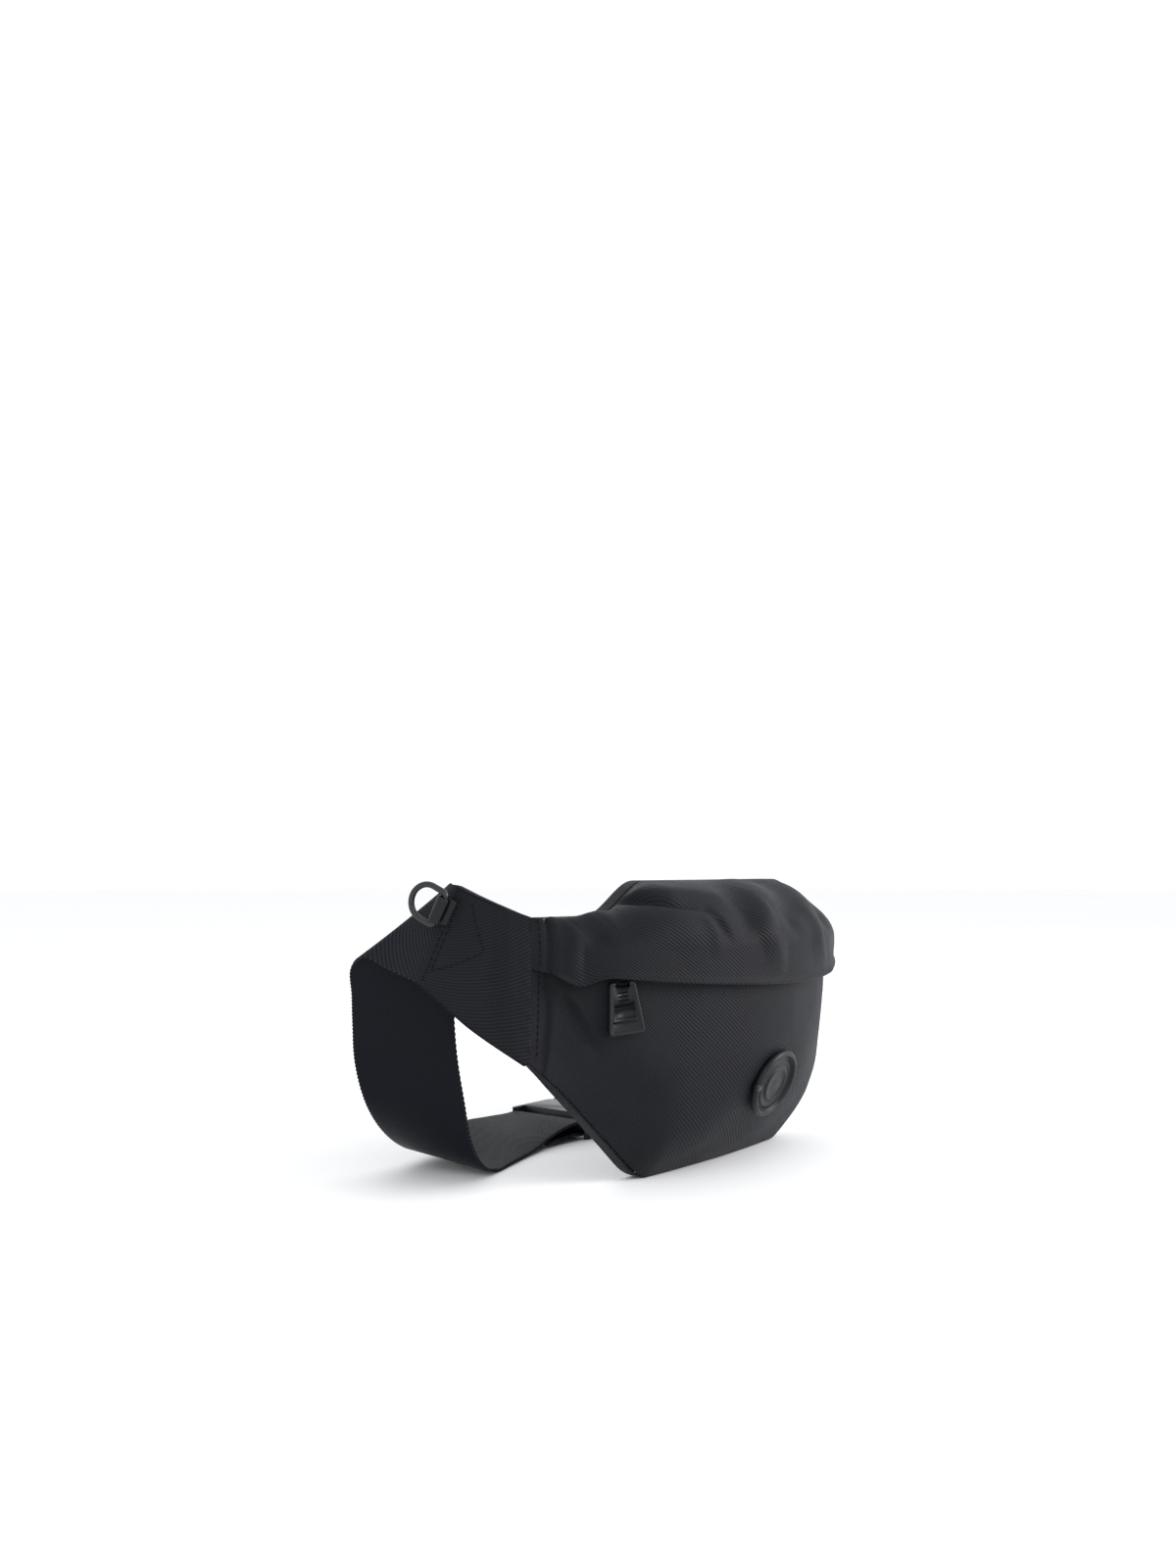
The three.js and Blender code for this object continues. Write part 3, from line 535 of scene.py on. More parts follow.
class Maker:
    """Turns points in the pack's own millimetres into mesh objects in the frame."""

    def __init__(self, origin: Sequence[float], wardrobe: Wardrobe) -> None:
        """Keeps the place of the pack's own origin in the frame, and the finishes."""
        self.origin = np.array(origin, float)
        self.wardrobe = wardrobe

    def mesh(
        self,
        name: str,
        points: Array,
        faces: Iterable[Sequence[int]],
        cloth: Array | None = None,
        second: Iterable[int] = (),
    ) -> bpy.types.Object:
        """Makes a smooth-shaded mesh object.

        Args:
            name: the piece's name.
            points: its vertices.
            faces: its faces, as lists of vertex numbers.
            cloth: each vertex's place on the cloth, in millimetres.
            second: numbers of the faces that take the second material.

        Returns:
            The object, with its faces turned outwards.
        """
        data = bpy.data.meshes.new(name)
        data.from_pydata(((points + self.origin) * METRES).tolist(), [], list(faces))
        for number in second:
            data.polygons[number].material_index = 1
        if cloth is not None:
            layer = data.uv_layers.new(name=CLOTH_MAP)
            corners = np.empty(len(data.loops), np.int64)
            data.loops.foreach_get("vertex_index", corners)
            layer.data.foreach_set("uv", (cloth[corners] * METRES).astype(np.float32).ravel())
        shaped = bmesh.new()
        shaped.from_mesh(data)
        bmesh.ops.recalc_face_normals(shaped, faces=shaped.faces)
        shaped.to_mesh(data)
        shaped.free()
        data.shade_smooth()
        made = bpy.data.objects.new(name, data)
        bpy.context.scene.collection.objects.link(made)
        return made

    def sheet(
        self,
        name: str,
        surface: Surface,
        cells: tuple[int, int],
        offsets: tuple[float, float],
        selvedge: Callable[[Array], Array] | None = None,
    ) -> bpy.types.Object:
        """Makes a closed sheet with half-round edges.

        Args:
            name: the piece's name.
            surface: points for u and v from 0 to 1.
            cells: how many columns and rows.
            offsets: the rear and front faces' distances along the surface's normals.
            selvedge: how far each edge point stands out, by its place along u in millimetres.

        Returns:
            The object. Its rear face takes the second material.
        """
        columns, rows = cells
        u, v = np.meshgrid(np.linspace(0, 1, columns + 1), np.linspace(0, 1, rows + 1))
        middle = surface(u, v)
        normal = normals_of(surface, u, v)
        rear, front = offsets
        layer = (columns + 1) * (rows + 1)
        steps_u = np.linalg.norm(np.diff(middle, axis=1), axis=-1).mean(0)
        steps_v = np.linalg.norm(np.diff(middle, axis=0), axis=-1).mean(1)
        along = np.concatenate([[0], np.cumsum(steps_u)])
        across = np.concatenate([[0], np.cumsum(steps_v)])
        place = np.stack(np.meshgrid(along, across), axis=-1).reshape(-1, 2)
        grid = np.arange(layer).reshape(rows + 1, columns + 1)
        rim = np.concatenate([grid[0, :-1], grid[:-1, -1], grid[-1, :0:-1], grid[:0:-1, 0]])
        row, column = np.divmod(rim, columns + 1)
        inner = middle[np.clip(row, 1, rows - 1), np.clip(column, 1, columns - 1)]
        edge, edge_normal = middle[row, column], normal[row, column]
        outward = edge - inner
        outward = unit(outward - (outward * edge_normal).sum(-1, keepdims=True) * edge_normal)
        half = (front - rear) / 2
        stand = np.zeros(len(rim)) if selvedge is None else selvedge(place[rim, 0])
        centre = edge + edge_normal * (front + rear) / 2 + outward * stand[:, None]
        rounds = [
            centre + outward * half * math.sin(angle) + edge_normal * half * math.cos(angle)
            for angle in np.linspace(0, math.pi, EDGE_STEPS)[1:-1]
        ]
        faced = [(middle + normal * offset).reshape(-1, 3) for offset in (front, rear)]
        cloth = [place, place] + [place[rim]] * len(rounds)
        corners = [grid[:-1, :-1], grid[:-1, 1:], grid[1:, 1:], grid[1:, :-1]]
        quads = np.stack(corners, axis=-1).reshape(-1, 4)
        faces = [quads, quads[:, ::-1] + layer]
        between = [2 * layer + len(rim) * k + np.arange(len(rim)) for k in range(len(rounds))]
        loops = [rim, *between, rim + layer]
        for outer, deeper in zip(loops[:-1], loops[1:]):
            faces.append(np.stack([outer, deeper, np.roll(deeper, -1), np.roll(outer, -1)], axis=-1))
        listed = np.concatenate(faces).tolist()
        points = np.concatenate([*faced, *rounds])
        rear_faces = range(len(quads), 2 * len(quads))
        return self.mesh(name, points, listed, np.concatenate(cloth), rear_faces)

    def sweep(
        self,
        name: str,
        route: Array,
        section: Array,
        side: Array,
        closed: bool = False,
    ) -> bpy.types.Object:
        """Sweeps a closed section along a route.

        Args:
            name: the piece's name.
            route: the route's points.
            section: the section's points: out along side, then square to it.
            side: a direction at each route point, roughly square to the route.
            closed: True if the route ends where it starts.

        Returns:
            The object.
        """
        count, ring = len(route), len(section)
        if closed:
            tangent = unit(np.roll(route, -1, axis=0) - np.roll(route, 1, axis=0))
        else:
            tangent = unit(np.gradient(route, axis=0))
        first = unit(side - (side * tangent).sum(-1, keepdims=True) * tangent)
        second = np.cross(tangent, first)
        points = route[:, None] + section[None, :, :1] * first[:, None]
        points = points + section[None, :, 1:] * second[:, None]
        places = np.meshgrid(lengths(route), lengths(section), indexing="ij")
        cloth = np.stack(places, axis=-1).reshape(-1, 2)
        faces = []
        for i in range(count if closed else count - 1):
            faces += band(i * ring, ((i + 1) % count) * ring, ring)
        if not closed:
            faces += [tuple(range(ring)), tuple(range((count - 1) * ring, count * ring))]
        return self.mesh(name, points.reshape(-1, 3), faces, cloth)

    def loft(self, name: str, loops: Sequence[Array]) -> bpy.types.Object:
        """Joins loops of points into one closed skin, capped at both ends.

        Args:
            name: the piece's name.
            loops: the loops in order, with as many points in each.

        Returns:
            The object.
        """
        ring = len(loops[0])
        faces = [tuple(range(ring)), tuple(range((len(loops) - 1) * ring, len(loops) * ring))]
        for level in range(len(loops) - 1):
            faces += band(level * ring, (level + 1) * ring, ring)
        points = np.concatenate(loops)
        return self.mesh(name, points, faces, points[:, [0, 2]])

    def stitches(self, name: str, route: Array, normal: Array, pitch: float = 3.4) -> bpy.types.Object:
        """Lays a row of thread stitches along a route.

        Args:
            name: the piece's name.
            route: closely spaced points on the cloth.
            normal: the cloth's normals there.
            pitch: from one stitch to the next.

        Returns:
            One object with every stitch.
        """
        steps = lengths(route)
        places = np.arange(pitch / 2, steps[-1], pitch)

        def at(values: Array, where: Array) -> Array:
            """The route's points or normals at those distances along it."""
            return np.stack([np.interp(where, steps, values[:, k]) for k in range(3)], axis=-1)

        centre, out = at(route, places), unit(at(normal, places))
        forward = unit(at(route, places + 0.4) - at(route, places - 0.4))
        side = np.cross(forward, out)
        turn = np.linspace(0, math.tau, STITCH_SIDES, endpoint=False)
        points, faces, cloth = [], [], []
        per_stitch = len(STITCH) * STITCH_SIDES
        for number, place in enumerate(places):
            around = side[number] * np.cos(turn)[:, None] + out[number] * np.sin(turn)[:, None]
            for run, size, lift in STITCH:
                middle = centre[number] + forward[number] * run * pitch + out[number] * lift * THREAD_RADIUS
                points.append(middle + around * size * THREAD_RADIUS)
                cloth.append(np.stack([np.full(STITCH_SIDES, place + run * pitch), turn], axis=-1))
            start = number * per_stitch
            for level in range(len(STITCH) - 1):
                here = start + level * STITCH_SIDES
                faces += band(here, here + STITCH_SIDES, STITCH_SIDES)
            last = start + per_stitch - STITCH_SIDES
            faces += [tuple(range(first, first + STITCH_SIDES)) for first in (start, last)]
        return self.mesh(name, np.concatenate(points), faces, np.concatenate(cloth))

    def dress(
        self,
        piece: bpy.types.Object,
        cloths: Sequence[Cloth],
        body: str,
        slot: str,
        *nodes: str,
    ) -> bpy.types.Object:
        """Gives a piece its finishes and its body, and hides the nodes that it stands for.

        Args:
            piece: the piece.
            cloths: its finish, and a second one for its rear face if it has one.
            body: the body that it rides on.
            slot: the record's material slot; it is not used.
            nodes: the nodes that it replaces.

        Returns:
            The piece.
        """
        for cloth in (*cloths, *cloths[:1])[:2]:
            piece.data.materials.append(self.wardrobe[cloth])
        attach(piece, body)
        if nodes:
            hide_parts(*nodes)
        log.info("%s: %d faces on %s", piece.name, len(piece.data.polygons), body)
        return piece


# ---- The pack's cutting pattern --------------------------------------------------------------------


@dataclass(frozen=True)
class Pattern:
    """The back's curve, the outline and the pouch's skin, as the frame has them."""

    front_at_middle: float = -23.3
    radius: float = 636.0
    curve_length: float = 122.0
    bend_radius: float = 34.0
    bend: float = math.radians(65)
    seam: float = 134.0
    bottom_half: float = 67.0
    corner_round: float = 8.0
    seam_bottom: float = 62.5
    shoulder: float = 131.0
    crown: float = 148.0
    crown_starts: float = 96.0
    crown_full: float = 62.0
    arc_centre_y: float = 110.3
    front_radius: float = 180.8
    upper_radius: float = 185.7
    half_angle: float = math.radians(46.5)
    edge_offset: float = 6.9
    seam_pull: float = 18.0
    lower_fullness: float = 3.03
    upper_fullness: float = 1.08
    zip_edge: float = 102.0
    end_rise: float = 8.0
    end_rise_from: float = 0.84
    end_rise_to: float = 0.95
    upper_edge_height: float = 115.5
    flap_edge: float = 96.3
    flap_rise: float = 11.3
    flap_share: float = 0.3
    upper_reach: float = 0.998
    hem_dips: tuple[tuple[float, float, float], ...] = ((5.6, -0.872, 0.065), (3.2, 0.88, 0.07))
    hem_settle: float = 1.3
    binding_clear: float = 0.7

    def back(self, along: Array, offset: Array | float, height: Array) -> Array:
        """A point across the back.

        Args:
            along: distance from the middle along the back's curve, negative on the left.
            offset: distance in front of the curve.
            height: height off the floor.

        Returns:
            The point.
        """
        side = np.where(np.asarray(along) < 0, -1.0, 1.0)
        distance = np.abs(along)
        gentle = np.minimum(distance, self.curve_length) / self.radius
        heading = gentle + np.clip((distance - self.curve_length) / self.bend_radius, 0, self.bend)
        x = self.radius * np.sin(gentle) + self.bend_radius * (np.sin(heading) - np.sin(gentle))
        y = self.front_at_middle + self.radius * (1 - np.cos(gentle))
        y = y + self.bend_radius * (np.cos(gentle) - np.cos(heading))
        straight = np.maximum(distance - self.curve_length - self.bend_radius * self.bend, 0)
        x = x + straight * np.cos(heading) + offset * np.sin(heading)
        y = y + straight * np.sin(heading) - offset * np.cos(heading)
        return stack(side * x, y, height)

    def lower_edge(self, along: Array) -> Array:
        """Height of the lower outline.

        Args:
            along: distance from the middle along the back's curve.

        Returns:
            Heights off the floor.
        """
        slope = self.seam_bottom / (self.seam - self.bottom_half)
        past = np.abs(along) - self.bottom_half
        rounded = (past + self.corner_round) ** 2 / (4 * self.corner_round)
        rise = np.where(past >= self.corner_round, past, rounded)
        return slope * np.where(past <= -self.corner_round, 0, rise)

    def upper_edge(self, along: Array) -> Array:
        """Height of the upper outline."""
        rise = 1 - smooth(np.abs(along), self.crown_full, self.crown_starts)
        return self.shoulder + (self.crown - self.shoulder) * rise

    def arc(self, angle: Array, radius: float, height: Array) -> Array:
        """A point at an angle round the pouch's front."""
        return stack(radius * np.sin(angle), self.arc_centre_y - radius * np.cos(angle), height)

    def skin(self, across: Array, swell: Array, radius: float, height: Array) -> Array:
        """A point of the pouch.

        Args:
            across: -1 at the left seam and 1 at the right one.
            swell: 0 at the back and 1 at the full depth of the front.
            radius: radius of the front's arc.
            height: height off the floor.

        Returns:
            The point.
        """
        edge = self.back(self.seam * across, self.edge_offset, height)
        share = swell * (1 - np.abs(across) ** self.seam_pull)
        return edge + (self.arc(self.half_angle * across, radius, height) - edge) * share[..., None]

    def lower_skin(self, u: Array, v: Array) -> Array:
        """The lower front panel.

        Args:
            u: place across it, from 0 at the left seam to 1 at the right one.
            v: place up it, from 0 at its bound edge to 1 at the zip.

        Returns:
            The point.
        """
        across = lerp(-1.0, 1.0, crowd(u))
        bottom = self.lower_edge(self.seam * across)
        slope = self.lower_edge(self.seam * across + 1) - self.lower_edge(self.seam * across - 1)
        bottom = bottom + self.binding_clear * np.hypot(1, slope)
        swell = 1 - (1 - v) ** self.lower_fullness
        top = self.zip_edge + self.end_rise * smooth(np.abs(across), self.end_rise_from, self.end_rise_to)
        return self.skin(across, swell, self.front_radius, lerp(bottom, top, v))

    def hem(self, across: Array) -> Array:
        """Height of the storm flap's hem, with the dips where it leaves the wing seams.

        Args:
            across: -1 at the left seam and 1 at the right one.

        Returns:
            Heights off the floor.
        """
        dip = sum(depth * hump(across - place, width) for depth, place, width in self.hem_dips)
        settle = self.hem_settle * smooth(across, -0.35, 0.2) * smooth(-across, -0.75, -0.3)
        return self.flap_edge + self.flap_rise * across**2 - dip - settle

    def upper_skin(self, u: Array, v: Array) -> Array:
        """The flap and the upper panel as one cloth.

        Args:
            u: place across it, from 0 at the left seam to 1 at the right one.
            v: place up it, from 0 at the flap's hem to 1 at the top seam.

        Returns:
            The point.
        """
        across = lerp(-self.upper_reach, self.upper_reach, crowd(u))
        low = np.clip(v / self.flap_share, 0, 1)
        high = np.clip((v - self.flap_share) / (1 - self.flap_share), 0, 0.9999)
        top = self.upper_edge(self.seam * across)
        rise = np.sin(high * math.pi / 2) ** self.upper_fullness
        height = lerp(self.hem(across), self.upper_edge_height, low)
        height = height + (top - self.upper_edge_height) * rise
        swell = np.cos(high * math.pi / 2) ** self.upper_fullness
        return self.skin(across, swell, self.upper_radius, height)


@dataclass(frozen=True)
class Fold:
    """A soft ridge or valley in the cloth, along a bent line seen from the front."""

    line: tuple[tuple[float, float], ...]
    height: float
    above: float
    below: float

    def relief(self, points: Array) -> Array:
        """How far the fold moves each point out of the cloth.

        Args:
            points: points of the cloth.

        Returns:
            Millimetres along the cloth's normal.
        """
        x, z = points[..., 0], points[..., 2]
        nearest = np.full(x.shape, 1e9)
        total = np.zeros(x.shape)
        spans = len(self.line) - 1
        for number, (start, end) in enumerate(zip(self.line[:-1], self.line[1:])):
            run = np.subtract(end, start)
            length = float(np.hypot(*run))
            share = np.clip(((x - start[0]) * run[0] + (z - start[1]) * run[1]) / length**2, 0, 1)
            gap_x, gap_z = x - start[0] - run[0] * share, z - start[1] - run[1] * share
            distance = np.hypot(gap_x, gap_z)
            upper = (run[0] * gap_z - run[1] * gap_x) > 0
            width = np.where(upper, self.above, self.below)
            taper = np.sin(math.pi * np.clip((number + share) / spans, 0, 1))
            value = hump(distance, width) * taper
            closer = distance < nearest
            total = np.where(closer, value, total)
            nearest = np.where(closer, distance, nearest)
        return self.height * total


# ---- Sub-assemblies --------------------------------------------------------------------------------


@dataclass
class Pouch:
    """The lower panel, the upper panel with its storm flap, and their seams to the wings.

    A fold gives its line, its height, negative for a valley, and its widths above and below the line.
    """

    maker: Maker
    pattern: Pattern
    thickness: float = 1.1
    lower_folds: tuple[Fold, ...] = (
        Fold(((-130.0, 103.0), (-121.0, 90.0), (-116.0, 80.0), (-106.0, 62.0)), -1.9, 3.4, 2.6),
        Fold(((-122.0, 101.0), (-112.0, 88.0), (-104.0, 72.0)), 1.2, 5.0, 4.0),
        Fold(((-60.0, 98.0), (-20.0, 70.0), (10.0, 28.0)), 1.0, 22.0, 26.0),
        Fold(((50.0, 30.0), (75.0, 52.0), (96.0, 66.0)), 0.9, 8.0, 10.0),
        Fold(((94.0, 116.0), (97.0, 84.0), (93.0, 58.0), (84.0, 24.0)), -8.5, 18.0, 18.0),
        Fold(((-106.0, 60.0), (-86.0, 40.0), (-66.0, 18.0)), -1.2, 10.0, 8.0),
    )
    upper_folds: tuple[Fold, ...] = (
        Fold(((-123.0, 98.0), (-121.5, 114.0), (-118.0, 134.0)), 1.5, 4.5, 4.5),
        Fold(((-114.0, 96.0), (-113.5, 114.0), (-110.0, 136.0)), -2.9, 6.0, 5.5),
        Fold(((-118.0, 127.0), (-106.0, 133.0), (-97.0, 136.0), (-84.0, 141.0)), 4.6, 6.0, 6.5),
        Fold(((-104.0, 126.0), (-80.0, 129.0), (-50.0, 125.0)), 2.2, 8.0, 10.0),
        Fold(
            ((-112.0, 132.0), (-97.0, 136.0), (-81.0, 138.0), (-66.0, 135.6), (-48.0, 133.6)),
            -3.4, 2.3, 1.7,
        ),
        Fold(((-98.0, 142.0), (-66.0, 143.0), (-30.0, 140.5)), 2.0, 4.0, 3.4),
        Fold(((-56.0, 136.0), (-51.0, 129.0), (-48.0, 117.0), (-47.0, 108.0)), -2.6, 2.0, 3.2),
        Fold(((-60.0, 131.0), (-57.0, 122.0), (-56.0, 110.0)), 1.4, 4.0, 4.0),
        Fold(((26.0, 149.0), (-12.0, 138.0), (-20.0, 122.0), (-4.0, 97.0)), 3.0, 7.0, 8.0),
        Fold(((-8.0, 146.0), (-30.0, 136.0), (-34.0, 120.0), (-24.0, 100.0)), -1.8, 6.0, 6.0),
        Fold(((38.0, 149.0), (8.0, 130.0), (8.0, 114.0), (26.0, 97.0)), -3.4, 7.0, 8.0),
        Fold(((54.0, 148.0), (34.0, 130.0), (36.0, 116.0), (52.0, 98.0)), 2.2, 8.0, 7.0),
        Fold(((78.0, 146.0), (58.0, 130.0), (62.0, 114.0), (80.0, 98.0)), -2.6, 8.0, 8.0),
        Fold(((104.0, 136.0), (84.0, 126.0), (88.0, 112.0), (104.0, 98.0)), 1.8, 8.0, 7.0),
        Fold(((50.0, 152.0), (84.0, 142.0), (110.0, 122.0), (124.0, 100.0)), -4.6, 18.0, 18.0),
    )
    seam_place: float = 0.022
    stitch_place: float = 0.024
    seam_depth: float = 1.1
    seam_swell: float = 0.5

    def seam_groove(self, u: Array) -> Array:
        """The groove where each wing is sewn to the pouch, with the cloth full on both sides.

        Args:
            u: place across the pouch, from 0 to 1.

        Returns:
            Millimetres along the cloth's normal.
        """
        ends = np.minimum(crowd(u), 1 - crowd(u))
        groove = -self.seam_depth * hump(ends - self.seam_place, 0.0034)
        return groove + self.seam_swell * hump(ends - self.seam_place - 0.012, 0.007)

    def lower_surface(self) -> Surface:
        """The lower panel's outer face."""
        base = self.pattern.lower_skin

        def relief(u: Array, v: Array) -> Array:
            """The folds, without ridges where the flap and the puller need room, and the tucked edge."""
            points = base(u, v)
            total = sum(fold.relief(points) for fold in self.lower_folds)
            total = total + swells(points, 28.0, 0.55)
            ends = np.minimum(crowd(u), 1 - crowd(u))
            total = np.where(total > 0, total * (1 - smooth(points[..., 2], 56.0, 74.0)), total)
            free = smooth(v, 0.0, 0.12) * smooth(1 - v, 0.0, 0.05) * smooth(ends, 0.0, 0.06)
            tucked = 0.7 * smooth(v, 0.93, 1.0) * (1 - smooth(ends, 0.03, 0.08))
            return total * free + self.seam_groove(u) - 0.2 - tucked

        return raised(base, relief)

    def upper_surface(self) -> Surface:
        """The upper panel's and the flap's outer face."""
        base = self.pattern.upper_skin

        def relief(u: Array, v: Array) -> Array:
            """The folds, without valleys on the flap, and the flap's standing lip."""
            points = base(u, v)
            total = sum(fold.relief(points) for fold in self.upper_folds)
            free = smooth(1 - v, 0.0, 0.12) * smooth(u, 0.0, 0.03) * smooth(1 - u, 0.0, 0.03)
            total = total + swells(points, 24.0, 0.6)
            total = np.where(total < 0, total * smooth(v, 0.28, 0.52), total)
            lip = 0.9 * hump(v - 0.01, 0.028)
            lip = lip * smooth(u, 0.03, 0.08) * smooth(1 - u, 0.03, 0.08)
            return total * free + lip + self.seam_groove(u)

        return raised(base, relief)

    def build(self) -> None:
        """Makes the pouch's pieces."""
        maker = self.maker
        lower, upper = self.lower_surface(), self.upper_surface()
        front = maker.sheet("lower_front_panel", lower, (230, 96), (-self.thickness, 0.0))
        maker.dress(front, [Cloth.SHELL, Cloth.LINING], "root", "shell", "front_panel")
        top = maker.sheet("upper_panel_and_flap", upper, (260, 120), (-self.thickness, 0.0))
        maker.dress(top, [Cloth.SHELL, Cloth.LINING], "root", "shell", "upper_panel", "zip_flap")
        for side in (-1, 1):
            end = 0.5 + side * 0.5
            place = end - side * self.stitch_place
            label = "left" if side < 0 else "right"
            for part, surface, low, high in (("lower", lower, 0.1, 0.93), ("upper", upper, 0.06, 0.96)):
                level = np.linspace(low, high, 300)
                fixed = np.full_like(level, place)
                normal = normals_of(surface, fixed, level)
                row = maker.stitches(f"seam_stitches_{part}_{label}", surface(fixed, level), normal, 3.2)
                maker.dress(row, [Cloth.THREAD], "root", "shell")


@dataclass
class BackPanel:
    """The bound, padded back with its quilted mesh."""

    maker: Maker
    pattern: Pattern
    rear: float = -2.8
    front: float = 5.6
    tape: float = 1.2
    quilt: float = 1.7
    upright_channels: tuple[float, float] = (-44.0, 44.0)
    level_channels: tuple[float, float] = (54.0, 98.0)

    def binding(self, name: str, node: str, edge: Callable[[Array], Array], inward: float) -> None:
        """Makes one run of binding tape, with its row of stitches.

        Args:
            name: the piece's name.
            node: the node that it replaces.
            edge: height of the outline by the place along the back.
            inward: 1 if the panel lies above the edge, -1 if below.
        """
        pattern = self.pattern
        along = np.linspace(-pattern.seam, pattern.seam, 420)
        height = edge(along)
        slope = np.gradient(height, along)
        length = np.hypot(1, slope)
        thick = self.tape * 0.55
        moved = along - inward * thick * slope / length
        middle = (self.rear + self.front) / 2
        route = pattern.back(moved, middle, height + inward * thick / length)
        outwards = pattern.back(moved, self.front, height) - pattern.back(moved, self.rear, height)
        half = (self.front - self.rear) / 2 + 0.15
        turn = np.linspace(0, math.tau, 28, endpoint=False)
        wide = half * np.sign(np.cos(turn)) * np.abs(np.cos(turn)) ** 0.35
        deep = thick * np.sign(np.sin(turn)) * np.abs(np.sin(turn)) ** 0.6
        section = np.stack([wide, deep], axis=-1)
        wobble = swells(route, 16.0, 0.12)[:, None]
        tape = self.maker.sweep(name, route + unit(outwards) * wobble, section, outwards)
        self.maker.dress(tape, [Cloth.BINDING], "root", "binding", node)
        normal = unit(outwards)
        row = self.maker.stitches(f"{name}_stitches", route + normal * (half + 0.02), normal, 3.0)
        self.maker.dress(row, [Cloth.THREAD], "root", "binding")

    def quilted(self, along: Array, height: Array) -> Array:
        """Depth of the quilting: two sewn channels up the back, and two across each half beyond them.

        Args:
            along: distance from the middle along the back's curve.
            height: height off the floor.

        Returns:
            1 in a channel and 0 away from them.
        """
        channel = np.zeros_like(along)
        for place in self.upright_channels:
            lean = 0.06 * (height - 70) * np.sign(place)
            channel = np.maximum(channel, hump(along - place - lean, 3.4))
        for level in self.level_channels:
            channel = np.maximum(channel, hump(height - level, 3.0) * smooth(np.abs(along), 44.0, 50.0))
        return channel

    def build(self) -> None:
        """Makes the back's pieces."""
        pattern = self.pattern
        self.binding("lower_edge_binding", "lower_binding", pattern.lower_edge, 1.0)
        self.binding("upper_edge_binding", "upper_binding", pattern.upper_edge, -1.0)

        def surface(u: Array, v: Array) -> Array:
            """The mesh between the bindings, puffed out between its sewn channels and edges."""
            along = lerp(-1.0, 1.0, u) * (pattern.seam - 0.6)
            low = pattern.lower_edge(along) + 2.2 + 1.4 * smooth(np.abs(along), 66.0, 74.0)
            height = lerp(low, pattern.upper_edge(along) - 2.4, v)
            room = smooth(v, 0.0, 0.07) * smooth(1 - v, 0.0, 0.07)
            room = room * smooth(u, 0.0, 0.03) * smooth(1 - u, 0.0, 0.03)
            puff = self.quilt * (1 - self.quilted(along, height)) * room
            return pattern.back(along, -2.0 - puff, height)

        pad = self.maker.sheet("quilted_back_mesh", surface, (240, 130), (-0.5, 0.5))
        self.maker.dress(pad, [Cloth.MESH], "root", "mesh", "back_mesh")


